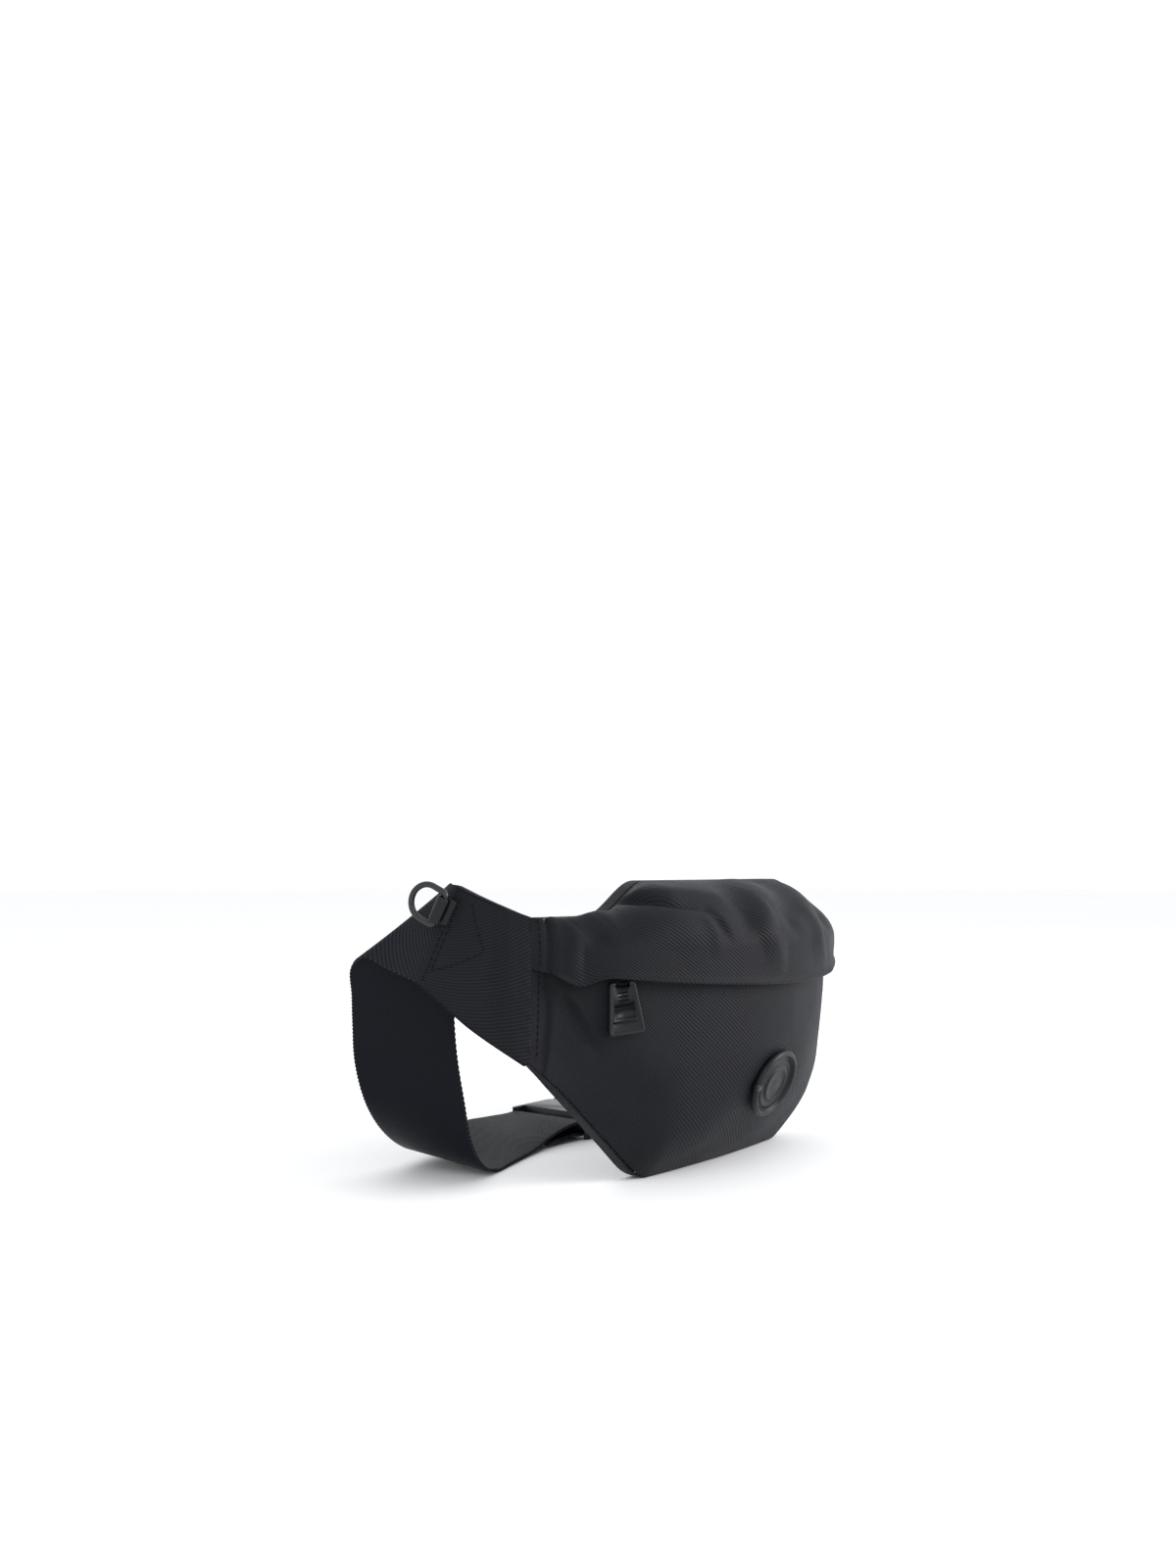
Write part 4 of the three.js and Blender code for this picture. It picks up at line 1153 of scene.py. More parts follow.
@dataclass
class Wing:
    """One padded wing, with its edge tapes and the sewn end of the belt."""

    maker: Maker
    pattern: Pattern
    name: str
    side: float
    droop: float
    low_tip: tuple[float, float] = (188.3, 100.0)
    high_tip: tuple[float, float] = (165.8, 145.0)
    outer_offset: float = 3.5
    fullness: float = 1.1
    crease: float = 1.3
    ridge: float = 0.9
    pucker: float = 0.25
    seam_meet: float = 2.9
    edge_tape_size: tuple[float, float] = (2.75, 1.0)
    seam_tape_size: tuple[float, float] = (4.5, 0.8)

    def point(self, out: Array, up: Array, offset: Array | float) -> Array:
        """A point of the wing.

        Args:
            out: 0 at the pouch's seam and 1 at the wing's tip.
            up: 0 at the lower edge and 1 at the upper one.
            offset: distance in front of the back's curve.

        Returns:
            The point.
        """
        root = self.pattern.seam + lerp(0.4, -0.5, smooth(offset, 3.0, 6.0))
        along = lerp(lerp(root, self.low_tip[0], out), lerp(root, self.high_tip[0], out), up)
        low = lerp(self.pattern.seam_bottom, self.low_tip[1], out)
        high = lerp(self.pattern.shoulder, self.high_tip[1], out)
        return self.pattern.back(self.side * along, offset, lerp(low, high, up) - self.droop * out**1.5)

    def outer(self, u: Array, v: Array) -> Array:
        """The outer cloth, a little full over the foam and drawn in at its edges.

        Args:
            u: 0 at the pouch's seam and 1 at the wing's tip.
            v: 0 at the lower edge and 1 at the upper one.

        Returns:
            The point.
        """
        full = self.fullness * np.sin(math.pi * np.clip(v, 0, 1)) ** 0.7 * smooth(1 - u, 0.0, 0.3)
        crease = -self.crease * hump(u - 0.30 - 0.20 * (v - 0.3), 0.07) * np.sin(math.pi * v)
        crease = crease + self.ridge * hump(u - 0.14 - 0.1 * v, 0.06) * np.sin(math.pi * v) ** 0.5
        pucker = self.pucker * np.sin(v * 60.0) * (1 - smooth(u, 0.0, 0.08))
        meet = self.seam_meet * (1 - smooth(u, 0.0, 0.34))
        return self.point(u, v, self.outer_offset - 0.5 + full + crease + pucker + meet)

    def row(self, label: str, ends: Sequence[tuple[float, float]], pitch: float = 3.4) -> None:
        """Sews a row of stitches on the outer cloth.

        Args:
            label: the row's part of the piece's name.
            ends: places on the wing, as out and up, that the row runs through.
            pitch: from one stitch to the next.
        """
        line = np.array(ends, float)
        share = np.linspace(0, len(line) - 1, 200 * (len(line) - 1))
        out = np.interp(share, np.arange(len(line)), line[:, 0])
        up = np.interp(share, np.arange(len(line)), line[:, 1])
        normal = normals_of(self.outer, out, up)
        normal = normal * np.sign(normal[:, :1] * self.side)
        route = self.outer(out, up) + normal * 0.5
        stitches = self.maker.stitches(f"{self.name}_{label}", route, normal, pitch)
        self.maker.dress(stitches, [Cloth.THREAD], "root", "shell")

    def edge_tape(self, label: str, up: float) -> None:
        """Binds an edge of the wing.

        Args:
            label: the tape's part of the piece's name.
            up: 0 for the lower edge and 1 for the upper one.
        """
        out = np.linspace(0.0, 1.0, 120)
        level = np.full_like(out, up)
        route = self.point(out, level, 1.0)
        outwards = self.point(out, level, 3.0) - self.point(out, level, -1.0)
        section = oval(20, *self.edge_tape_size)
        tape = self.maker.sweep(f"{self.name}_{label}_tape", route, section, outwards)
        self.maker.dress(tape, [Cloth.BINDING], "root", "binding")

    def seam_tape(self) -> None:
        """Closes the seam between the wing and the pouch, through their thickness."""
        height = np.linspace(self.pattern.seam_bottom + 0.6, self.pattern.shoulder - 0.6, 60)
        fixed = np.full_like(height, self.side * (self.pattern.seam + 0.2))
        route = self.pattern.back(fixed, 1.9, height)
        outwards = self.pattern.back(fixed, 3.0, height) - self.pattern.back(fixed, 0.0, height)
        section = oval(20, *self.seam_tape_size)
        tape = self.maker.sweep(f"wing_{self.name}_seam_tape", route, section, outwards)
        self.maker.dress(tape, [Cloth.BINDING], "root", "binding")

    def build(self) -> None:
        """Makes the wing's pieces."""
        maker, title = self.maker, f"wing_{self.name}"
        outer = maker.sheet(f"{title}_cloth", self.outer, (90, 90), (-0.5, 0.5))
        maker.dress(outer, [Cloth.SHELL], "root", "shell", f"{title}_outer")

        def inner(u: Array, v: Array) -> Array:
            """The mesh on the wearer's side, puffed out inside its edges."""
            puff = 0.9 * np.sin(math.pi * v) ** 0.6 * smooth(1 - u, 0.0, 0.25) * smooth(u, 0.0, 0.1)
            return self.point(u, v, -1.1 - puff)

        pad = maker.sheet(f"{title}_mesh_pad", inner, (60, 60), (-0.5, 0.5))
        maker.dress(pad, [Cloth.MESH], "root", "mesh", f"{title}_mesh")
        self.edge_tape("lower", 0.0)
        self.edge_tape("upper", 1.0)
        self.row("end_stitches", [(0.95, 0.05), (0.95, 0.95)])
        self.row("box_stitches", [(0.89, 0.93), (0.91, 0.19), (0.45, 0.62), (0.71, 0.92)])
        self.seam_tape()


def catmull_rom(points: Array, share: Array) -> Array:
    """A smooth curve through points.

    Args:
        points: the points.
        share: places along the curve, from 0 to 1.

    Returns:
        Points of the centripetal Catmull-Rom curve.
    """
    last = len(points) - 1
    place = np.clip(share, 0, 1) * last
    span = np.minimum(np.floor(place).astype(int), last - 1)
    part = (place - span)[..., None]
    padded = np.concatenate([[2 * points[0] - points[1]], points, [2 * points[-1] - points[-2]]])
    p0, p1, p2, p3 = (padded[span + k] for k in range(4))
    gaps = (np.linalg.norm(b - a, axis=-1, keepdims=True) for a, b in ((p0, p1), (p1, p2), (p2, p3)))
    before, here, after = (np.maximum(gap**0.5, 1e-4) for gap in gaps)
    start = ((p1 - p0) / before - (p2 - p0) / (before + here) + (p2 - p1) / here) * here
    end = ((p2 - p1) / here - (p3 - p1) / (here + after) + (p3 - p2) / after) * here
    cubic = 2 * p1 - 2 * p2 + start + end
    square = -3 * p1 + 3 * p2 - 2 * start - end
    return ((cubic * part + square) * part + start) * part + p1


Pair = tuple[tuple[float, float, float], tuple[float, float, float]]

# The belt on the left side, from the wing's end down to the floor and in along it, as a point on
# each selvedge, the upper one first.
HANGING: tuple[Pair, ...] = (
    ((-148.6, 25, 145.5), (-158.8, 56, 105.5)),
    ((-144, 30, 145.7), (-162, 70, 111)),
    ((-138, 32.5, 139.5), (-162.3, 79, 105.5)),
    ((-135, 36, 117), (-161, 79.5, 92)),
    ((-133.5, 38.5, 92), (-160.6, 79, 77)),
    ((-132, 38, 66), (-159.5, 78.5, 60)),
    ((-128, 36.5, 41), (-153.5, 78.5, 41.5)),
    ((-120.5, 37.5, 18), (-141, 81.5, 26)),
    ((-111.5, 37.5, 5.5), (-125, 84.5, 14)),
)
ON_FLOOR: tuple[Pair, ...] = (
    ((-99, 40, 1.4), (-107, 88.5, 7.5)),
    ((-78, 46.5, 1.4), (-82, 95.5, 9)),
    ((-54, 53.5, 2.2), (-56, 103, 11.5)),
)


@dataclass
class Belt:
    """Both sides of the webbing belt."""

    maker: Maker
    left: Wing
    right: Wing
    width: float = 50.0
    thickness: float = 1.8
    tucked: float = 18.0
    buckle_middle: float = 83.0
    buckle_height: float = 12.4
    bar_turn: float = 3.4
    strap_bar: float = -5.0
    adjust_bar: float = 44.0
    inside_wing: float = 1.3
    rib_pitch: float = 2.3
    rib_depth: float = 0.22
    blend_start: tuple[float, float, float] = (95.0, 75.0, 8.0)
    blend_end: tuple[float, float, float] = (51.0, 83.0, 6.0)

    def tuck(self, wing: Wing) -> list[Pair]:
        """The belt inside the wing and at its end.

        Args:
            wing: the wing that it is sewn into.

        Returns:
            The pairs, from the wing's inside outwards.
        """
        inner = 1 - self.tucked / self.width
        places = np.array([inner, (1 + inner) / 2, 1.0])
        upper, lower = (wing.point(places, edge, self.inside_wing) for edge in (1.0, 0.0))
        return [(tuple(a), tuple(b)) for a, b in zip(upper, lower)]

    def flat(self, x: float, near: float, far: float | None = None) -> Pair:
        """A pair straight across at the buckle.

        Args:
            x: its place along the belt.
            near: height of the selvedge nearer the pouch.
            far: height of the other selvedge, if it differs.

        Returns:
            The pair.
        """
        half = self.width / 2
        far = near if far is None else far
        return (x, self.buckle_middle - half, near), (x, self.buckle_middle + half, far)

    def turn(self, bar: float, side: float) -> list[Pair]:
        """Half a turn of webbing round a bar, from its top to its underside.

        Args:
            bar: the bar's place along the belt.
            side: 1 if the turn bulges to the right, -1 to the left.

        Returns:
            The pairs.
        """
        angles = [step * math.pi / 4 for step in range(5)]
        middle, radius = self.buckle_height / 2, self.bar_turn
        places = [(bar + side * radius * math.sin(a), middle + radius * math.cos(a)) for a in angles]
        return [self.flat(x, height) for x, height in places]

    def left_pairs(self) -> list[Pair]:
        """The fixed side's pairs, from the wing to the end that is sewn under the socket."""
        end = [self.flat(-15, 3.4, 4.0), self.flat(-36, 2.2, 6.6)]
        start = [self.flat(-32, 6.3, 10.0), self.flat(-15, 9.5)]
        loop = self.turn(self.strap_bar, 1)
        return [*self.tuck(self.left), *HANGING, *ON_FLOOR, *start, *loop, *end]

    def right_pairs(self) -> list[Pair]:
        """The adjustable side's pairs, from the wing to the end of the loose tail."""
        hanging = []
        for number, pair in enumerate(HANGING):
            lift = -self.right.droop if number < 3 else 3 * (number / 8) ** 2
            hanging.append(tuple((-x, y, z + lift) for x, y, z in pair))

        def level(pair: Pair, near: float, far: float) -> Pair:
            """A left-hand pair mirrored to the right, at other heights."""
            return (-pair[0][0], pair[0][1], near), (-pair[1][0], pair[1][1], far)

        over = [level(pair, 6.0, 10.5) for pair in ON_FLOOR[:2]]
        under = [level(pair, 3.4, 7.9) for pair in reversed(ON_FLOOR[:2])]
        bars = [self.flat(62, 9.4, 10.4), *self.turn(self.adjust_bar, -1), self.flat(58, 2.6, 3.0)]
        return [*self.tuck(self.right), *hanging, *over, *bars, *under]

    def ribbon(self, name: str, pairs: Sequence[Pair], lean: float) -> bpy.types.Object:
        """Makes one length of webbing.

        Args:
            name: the piece's name.
            pairs: a point on each selvedge, station by station.
            lean: 1 or -1, which face of the webbing is the ribbed one.

        Returns:
            The webbing, with its ribbed face first.
        """
        one, two = (np.array([pair[k] for pair in pairs], float) for k in (0, 1))
        if lean < 0:
            one, two = two, one

        def surface(u: Array, v: Array) -> Array:
            """The webbing's middle, along it by u and across it by v."""
            return lerp(catmull_rom(one, u), catmull_rom(two, u), v[..., None])

        def bumps(place: Array) -> Array:
            """The selvedge's small waves, where the ribs turn back."""
            return self.rib_depth * np.sin(place * math.tau / self.rib_pitch)

        half = self.thickness / 2
        return self.maker.sheet(name, surface, (760, 14), (-half, half), bumps)

    def build(self) -> None:
        """Makes the belt's pieces."""
        # Each webbing's rear face takes the second finish, whose darker colours are painted shade.
        left = self.ribbon("webbing_left", self.left_pairs(), 1)
        self.maker.dress(left, [Cloth.WEBBING, Cloth.WEBBING_BACK_PAINTED_SHADE], "root", "webbing", "strap_left")
        right = self.ribbon("webbing_right", self.right_pairs(), -1)
        for cloth in (Cloth.WEBBING, Cloth.WEBBING_BACK_PAINTED_SHADE):
            right.data.materials.append(self.maker.wardrobe[cloth])
        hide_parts("strap_right")
        start, end = ((self.maker.origin + place) * METRES for place in (self.blend_start, self.blend_end))
        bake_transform(right)


@dataclass
class Ring:
    """The D-ring on the left wing, and the tab that holds it."""

    maker: Maker
    wing: Wing
    wire: float = 3.0
    width: float = 17.0
    reach: float = 16.5
    below_corner: float = 12.5
    beyond_edge: float = 1.5
    lift: float = 3.9
    corner: float = 2.2
    face_offset: float = 3.6
    tab_radii: tuple[float, float] = (2.35, 3.6)
    tab_inset: float = 5.0
    tab_clear: float = 0.08

    def seat(self) -> tuple[Array, Array, Array, Array]:
        """The ring's centre, and its axes up the wing's end, out beyond it and off its face."""
        one, zero = np.array(1.0), np.array(0.0)
        high, low = (self.wing.point(one, edge, self.face_offset) for edge in (one, zero))
        up = unit(high - low)
        half = np.array(0.5)
        beyond = self.wing.point(one, half, 0.0) - self.wing.point(np.array(0.9), half, 0.0)
        off = unit(np.cross(up, beyond))
        beyond = np.cross(off, up)
        centre = high - up * self.below_corner + beyond * self.beyond_edge + off * self.lift
        return centre, up, beyond, off

    def outline(self) -> Array:
        """The D's plan, up the wing's end and out beyond it: the straight side, then the bow."""
        bow, corner = self.width / 2, self.corner
        straight = self.reach - bow
        flat = [(x, 0.0) for x in np.linspace(corner - bow, bow - corner, 14)]
        turns = np.linspace(0.2, 1.4, 6)
        bend = [(bow - corner + corner * math.sin(a), corner - corner * math.cos(a)) for a in turns]
        side = [(bow, y) for y in np.linspace(corner + 0.6, straight, 5)]
        turns = np.linspace(0.1, math.pi - 0.1, 26)
        round_end = [(bow * math.cos(a), straight + bow * math.sin(a)) for a in turns]
        other = [(-x, y) for x, y in reversed(side)] + [(-x, y) for x, y in reversed(bend)]
        return np.array(flat + bend + side + round_end + other)

    def build(self) -> None:
        """Makes the ring and its tab."""
        centre, up, beyond, off = self.seat()
        plan = self.outline()
        route = centre + plan[:, :1] * up + plan[:, 1:] * beyond
        section = oval(18, self.wire / 2, self.wire / 2)
        ring = self.maker.sweep("ring_wire", route, section, np.tile(off, (len(route), 1)), closed=True)
        self.maker.dress(ring, [Cloth.WIRE], "ring", "ring_metal", "d_ring")
        inner, outer = self.tab_radii
        middle = (inner + outer) / 2
        leg = [(-y, -middle - 2.2 * float(smooth(y, 1.5, 6.0))) for y in np.linspace(9.0, 0.5, 12)]
        turns = np.linspace(-math.pi / 2, math.pi * 0.82, 26)
        lap = [(middle * math.cos(a), middle * math.sin(a)) for a in turns]
        path = np.array(leg + lap)
        half = (self.width - self.tab_inset) / 2

        def surface(u: Array, v: Array) -> Array:
            """The tab, from its sewn leg round the wire by u and up the wing's end by v."""
            place = u * (len(path) - 1)
            out = np.interp(place, np.arange(len(path)), path[:, 0])[..., None]
            high = np.interp(place, np.arange(len(path)), path[:, 1])[..., None]
            return centre + up * lerp(-half, half, v)[..., None] + beyond * out + off * high

        thick = (outer - inner) / 2 - self.tab_clear
        tab = self.maker.sheet("ring_tab", surface, (90, 16), (-thick, thick))
        self.maker.dress(tab, [Cloth.RUBBER], "root", "binding", "d_ring_tab")


@dataclass
class Zip:
    """The zip's teeth and tapes, its slider, the cord loop and the rubber puller."""

    maker: Maker
    pattern: Pattern
    height: float = 106.0
    half_angle: float = math.radians(37)
    slider_angle: float = math.radians(-33.8)
    pitch: float = 1.9
    pull_radius: float = 182.6
    pivot: float = 99.6
    pull_length: float = 24.0
    top_width: float = 13.0
    bottom_width: float = 18.5
    pull_thickness: float = 3.0
    pull_lean: float = math.radians(6)
    wire: float = 0.3
    cord: float = 0.5
    cord_half: float = 2.9
    cord_corner: float = 1.3

    def teeth(self, name: str, node: str, side: float) -> None:
        """Makes one row of coil teeth.

        Args:
            name: the row's name.
            node: the node that it replaces.
            side: 1 above the zip's centre line, -1 below it.
        """
        pattern = self.pattern
        radius = pattern.front_radius - 1.5
        count = int(2 * self.half_angle * radius / self.pitch)
        turns = np.linspace(0, count * math.tau, count * 10)
        angle = lerp(-self.half_angle, self.half_angle, turns / turns[-1])
        angle = angle + side * self.pitch / radius / 4
        route = pattern.arc(angle, radius, self.height + side * 1.5 + 0.55 * np.cos(turns))
        outward = pattern.arc(angle, 1.0, 0.0) - pattern.arc(angle, 0.0, 0.0)
        route = route + outward * (1.1 * np.sin(turns))[:, None]
        section = oval(6, self.wire, self.wire)
        coil = self.maker.sweep(name, route, section, outward + np.array([0, 0, 0.3]))
        self.maker.dress(coil, [Cloth.COIL], "root", "zip", node)

    def tape(self, name: str, node: str, levels: tuple[float, float], leans: tuple[float, float]) -> None:
        """Makes one tape of the zip.

        Args:
            name: the tape's name.
            node: the node that it replaces.
            levels: heights of its lower and upper edges.
            leans: the same edges' distances outside the lower panel's arc.
        """
        pattern = self.pattern

        def surface(u: Array, v: Array) -> Array:
            """The tape, round the front by u and up by v."""
            angle = lerp(-self.half_angle, self.half_angle, u)
            arc = pattern.arc(angle, 1.0, 0.0) - pattern.arc(angle, 0.0, 0.0)
            radius = (pattern.front_radius + lerp(*leans, v))[..., None]
            return pattern.arc(angle, 0.0, lerp(*levels, v)) + arc * radius

        tape = self.maker.sheet(name, surface, (200, 8), (-0.3, 0.3))
        self.maker.dress(tape, [Cloth.ZIP_TAPE], "root", "zip", node)

    def slider_axes(self) -> tuple[Array, Array, Array]:
        """The slider's place on the zip, the direction along the zip and the direction out of the pouch."""
        angle = np.array(self.slider_angle)
        along = np.array([math.cos(angle), math.sin(angle), 0.0])
        outward = np.array([math.sin(angle), -math.cos(angle), 0.0])
        return self.pattern.arc(angle, 0.0, np.array(0.0)), along, outward

    def outline(self, inset: float, depth: float) -> Array:
        """The puller's outline with rounded corners.

        Args:
            inset: how far it is drawn in.
            depth: its distance out of the puller's middle.

        Returns:
            The outline's points.
        """
        top, bottom = self.top_width / 2 - inset, self.bottom_width / 2 - inset
        high, low = (1.2 - inset, 1.4), (inset - self.pull_length, 2.4)
        corners = [(top, *high), (bottom, *low), (-bottom, *low), (-top, *high)]
        points = []
        for number, (x, z, radius) in enumerate(corners):
            here = np.array([x, z])
            before = unit(np.array(corners[number - 1][:2]) - here)
            after = unit(np.array(corners[(number + 1) % 4][:2]) - here)
            size = max(radius - inset, 0.3)
            for share in np.linspace(0, 1, 6):
                points.append(here + before * size * (1 - share) ** 2 + after * size * share**2)
        return self.local(np.array(points), depth)

    def local(self, plan: Array, depth: float, hanging: bool = True) -> Array:
        """Places flat points at the slider.

        Args:
            plan: points along the zip and up from the pivot.
            depth: their distance out of the puller's middle.
            hanging: True if they lean with the puller.

        Returns:
            The points.
        """
        origin, along, outward = self.slider_axes()
        centre = origin + outward * (self.pull_radius + depth)
        if hanging:
            cosine, sine = math.cos(self.pull_lean), math.sin(self.pull_lean)
            plan = plan @ np.array([[cosine, sine], [-sine, cosine]])
        return centre + plan[:, :1] * along + np.array([0, 0, 1.0]) * (plan[:, 1:] + self.pivot)

    def bar(
        self,
        name: str,
        width: float,
        low: float,
        high: float,
        depth: float,
        stand: float,
    ) -> bpy.types.Object:
        """Makes a small rounded bar that stands on the puller's face.

        Args:
            name: the piece's name.
            width: its width.
            low: its lower edge, up from the pivot.
            high: its upper edge, up from the pivot.
            depth: the distance of its foot out of the puller's middle.
            stand: how far it stands out.

        Returns:
            The bar.
        """
        loops = []
        for inset, rise in ((0.0, 0.0), (0.0, stand * 0.5), (0.22, stand * 0.85), (0.5, stand)):
            x, bottom, top = width / 2 - inset, low + inset, high - inset
            plan = [(x, bottom), (x, top), (-x, top), (-x, bottom)]
            rounded = []
            for number, corner in enumerate(np.array(plan)):
                before = unit(np.array(plan[number - 1]) - corner) * 0.35
                after = unit(np.array(plan[(number + 1) % 4]) - corner) * 0.35
                rounded += [corner + before, corner + (before + after) * 0.3, corner + after]
            loops.append(self.local(np.array(rounded), depth + rise))
        return self.maker.loft(name, loops)

    def cut(
        self,
        target: bpy.types.Object,
        low: tuple[float, float],
        high: tuple[float, float],
        floor: float,
    ) -> None:
        """Cuts a pocket into the puller's face.

        Args:
            target: the puller.
            low: the pocket's lower corner, along the zip and up from the pivot.
            high: its upper corner.
            floor: depth of the pocket's floor off the puller's middle.
        """
        plan = np.array([low, (high[0], low[1]), high, (low[0], high[1])])
        cutter = self.maker.loft("pocket_cutter", [self.local(plan, floor), self.local(plan, floor + 6)])
        made = target.modifiers.new("pocket", "BOOLEAN")
        made.object = cutter
        made.operation = "DIFFERENCE"
        apply_modifiers(target)
        bpy.data.objects.remove(cutter)

    def build(self) -> None:
        """Makes the zip's pieces."""
        self.teeth("coil_lower", "zip_teeth_lower", -1.0)
        self.teeth("coil_upper", "zip_teeth_upper", 1.0)
        self.tape("tape_lower", "zip_tape_lower", (94.6, 103.6), (-2.6, -1.8))
        self.tape("tape_upper", "zip_tape_upper", (108.4, 117.4), (-1.8, 0.2))
        self.build_puller()
        self.build_loop()

    def build_loop(self) -> None:
        """Makes the cord loop that joins the puller to the slider."""
        corner, top = self.cord_corner, self.height
        plan = []
        for side, level, start in (
            (-1, self.pivot, math.pi),
            (1, self.pivot, 1.5 * math.pi),
            (1, top, 0.0),
            (-1, top, 0.5 * math.pi),
        ):
            x = side * (self.cord_half - corner)
            z = level + (corner if level == self.pivot else -corner)
            for angle in start + np.linspace(0, math.pi / 2, 6):
                plan.append((x + corner * math.cos(angle), z + corner * math.sin(angle)))
        route = self.local(np.array(plan) - (0, self.pivot), 0.0, hanging=False)
        section = oval(10, self.cord, self.cord)
        outward = self.slider_axes()[2]
        sides = np.tile(outward, (len(route), 1))
        loop = self.maker.sweep("pull_cord_loop", route, section, sides, closed=True)
        self.maker.dress(loop, [Cloth.BINDING], "slider", "webbing", "pull_cord")

    def build_puller(self) -> None:
        """Makes the rubber puller: a raised border, a sunk slot and plain grip ribs."""
        half = self.pull_thickness / 2
        # Each level of the profile, from the back to the sunk face: inset and depth.
        levels = [
            (0.5, -half), (0.12, -half + 0.25), (0.0, -half + 0.7), (0.0, half - 0.8), (0.15, half - 0.3),
            (0.55, half - 0.02), (1.1, half), (1.5, half - 0.12), (1.75, half - 0.55), (2.1, half - 0.7),
        ]
        puller = self.maker.loft("puller", [self.outline(inset, depth) for inset, depth in levels])
        self.cut(puller, (-3.6, -1.6), (3.6, 3.0), -4.0)
        self.cut(puller, (-5.4, -16.6), (5.4, -11.6), -0.5)
        self.maker.dress(puller, [Cloth.RUBBER], "puller", "rubber", "zip_puller")
        # The grip ribs and bars: width, lower and upper edge, and how far each stands out.
        bars = [(9.6, -10.9, -10.1, 0.5), (11.8, -18.4, -17.2, 0.75)]
        bars += [(5.2, -4.4 - 1.9 * k, -3.6 - 1.9 * k, 0.35) for k in range(3)]
        for number, (width, low, high, stand) in enumerate(bars):
            rib = self.bar(f"puller_rib_{number + 1}", width, low, high, half - 0.75, stand)
            self.maker.dress(rib, [Cloth.RUBBER], "puller", "rubber")


def apply_modifiers(piece: bpy.types.Object) -> None:
    """Bakes a piece's modifiers into its mesh.

    Args:
        piece: the piece.
    """
    bpy.context.view_layer.update()
    evaluated = piece.evaluated_get(bpy.context.evaluated_depsgraph_get())
    data = bpy.data.meshes.new_from_object(evaluated)
    piece.modifiers.clear()
    piece.data = data


@dataclass
class Badge:
    """The round rubber badge: a domed rim with a sunk plain face."""

    maker: Maker
    pattern: Pattern
    up_the_panel: float = 0.421
    radius: float = 18.5
    rim: float = 3.0
    segments: int = 96
    tab_half_width: float = 1.9
    tab_inner: float = 3.4
    tab_beyond: float = 0.9

    def axes(self) -> tuple[Array, Array, Array, Array]:
        """The badge's centre and its axes across, up and out of the panel."""
        surface = self.pattern.lower_skin
        u, v = np.array([0.5]), np.array([self.up_the_panel])
        nudge = 0.01
        up = surface(u, v + nudge) - surface(u, v - nudge)
        across = surface(u + nudge, v) - surface(u - nudge, v)
        out = unit(np.cross(across, up))[0]
        across = unit(across)[0]
        return surface(u, v)[0], across, np.cross(out, across), out

    def turned(self, name: str, profile: Sequence[tuple[float, float]]) -> bpy.types.Object:
        """Turns a profile round the badge's axis.

        Args:
            name: the piece's name.
            profile: radii and heights off the panel.

        Returns:
            The piece.
        """
        centre, across, up, out = self.axes()
        turn = np.linspace(0, math.tau, self.segments, endpoint=False)
        loops = [
            centre + radius * (np.cos(turn)[:, None] * across + np.sin(turn)[:, None] * up) + out * height
            for radius, height in profile
        ]
        return self.maker.loft(name, loops)

    def build(self) -> None:
        """Makes the rim, the face and its plain relief."""
        edge, inner = self.radius, self.radius - self.rim
        # Radius and height of each point of the two profiles.
        rim = [
            (inner - 0.2, 0.2), (edge - 0.3, 0.2), (edge, 0.5), (edge, 1.7), (edge - 0.25, 2.4),
            (edge - 0.8, 3.0), (edge - 1.5, 3.35), (edge - 2.1, 3.3), (edge - 2.6, 2.9), (inner, 2.3),
            (inner - 0.2, 1.6),
        ]
        face = [
            (inner - 0.3, 0.3), (inner - 0.25, 1.5), (inner - 0.8, 1.75), (13.2, 1.8), (13.0, 2.25),
            (12.2, 2.35), (11.9, 1.95), (9.4, 2.05), (9.0, 2.75), (8.3, 2.95), (7.8, 2.5), (4.0, 2.75),
            (1.0, 2.85), (0.2, 2.86),
        ]
        ring = self.turned("badge_domed_rim", rim)
        self.maker.dress(ring, [Cloth.RUBBER], "root", "rubber", "badge_rim")
        disc = self.turned("badge_plain_face", face)
        self.maker.dress(disc, [Cloth.RUBBER], "root", "rubber", "badge_face")
        centre, across, up, out = self.axes()
        loops = []
        for inset, height in ((0.0, 0.4), (0.0, 2.7), (0.3, 3.2), (0.8, 3.35)):
            reach, half = edge + self.tab_beyond - inset, self.tab_half_width - inset
            start = edge - self.tab_inner
            corners = [(start, -half), (reach, -half), (reach, half), (start, half)]
            loops.append(np.array([centre - across * r + up * t + out * height for r, t in corners]))
        tab = self.maker.loft("badge_tab", loops)
        self.maker.dress(tab, [Cloth.RUBBER], "root", "rubber")


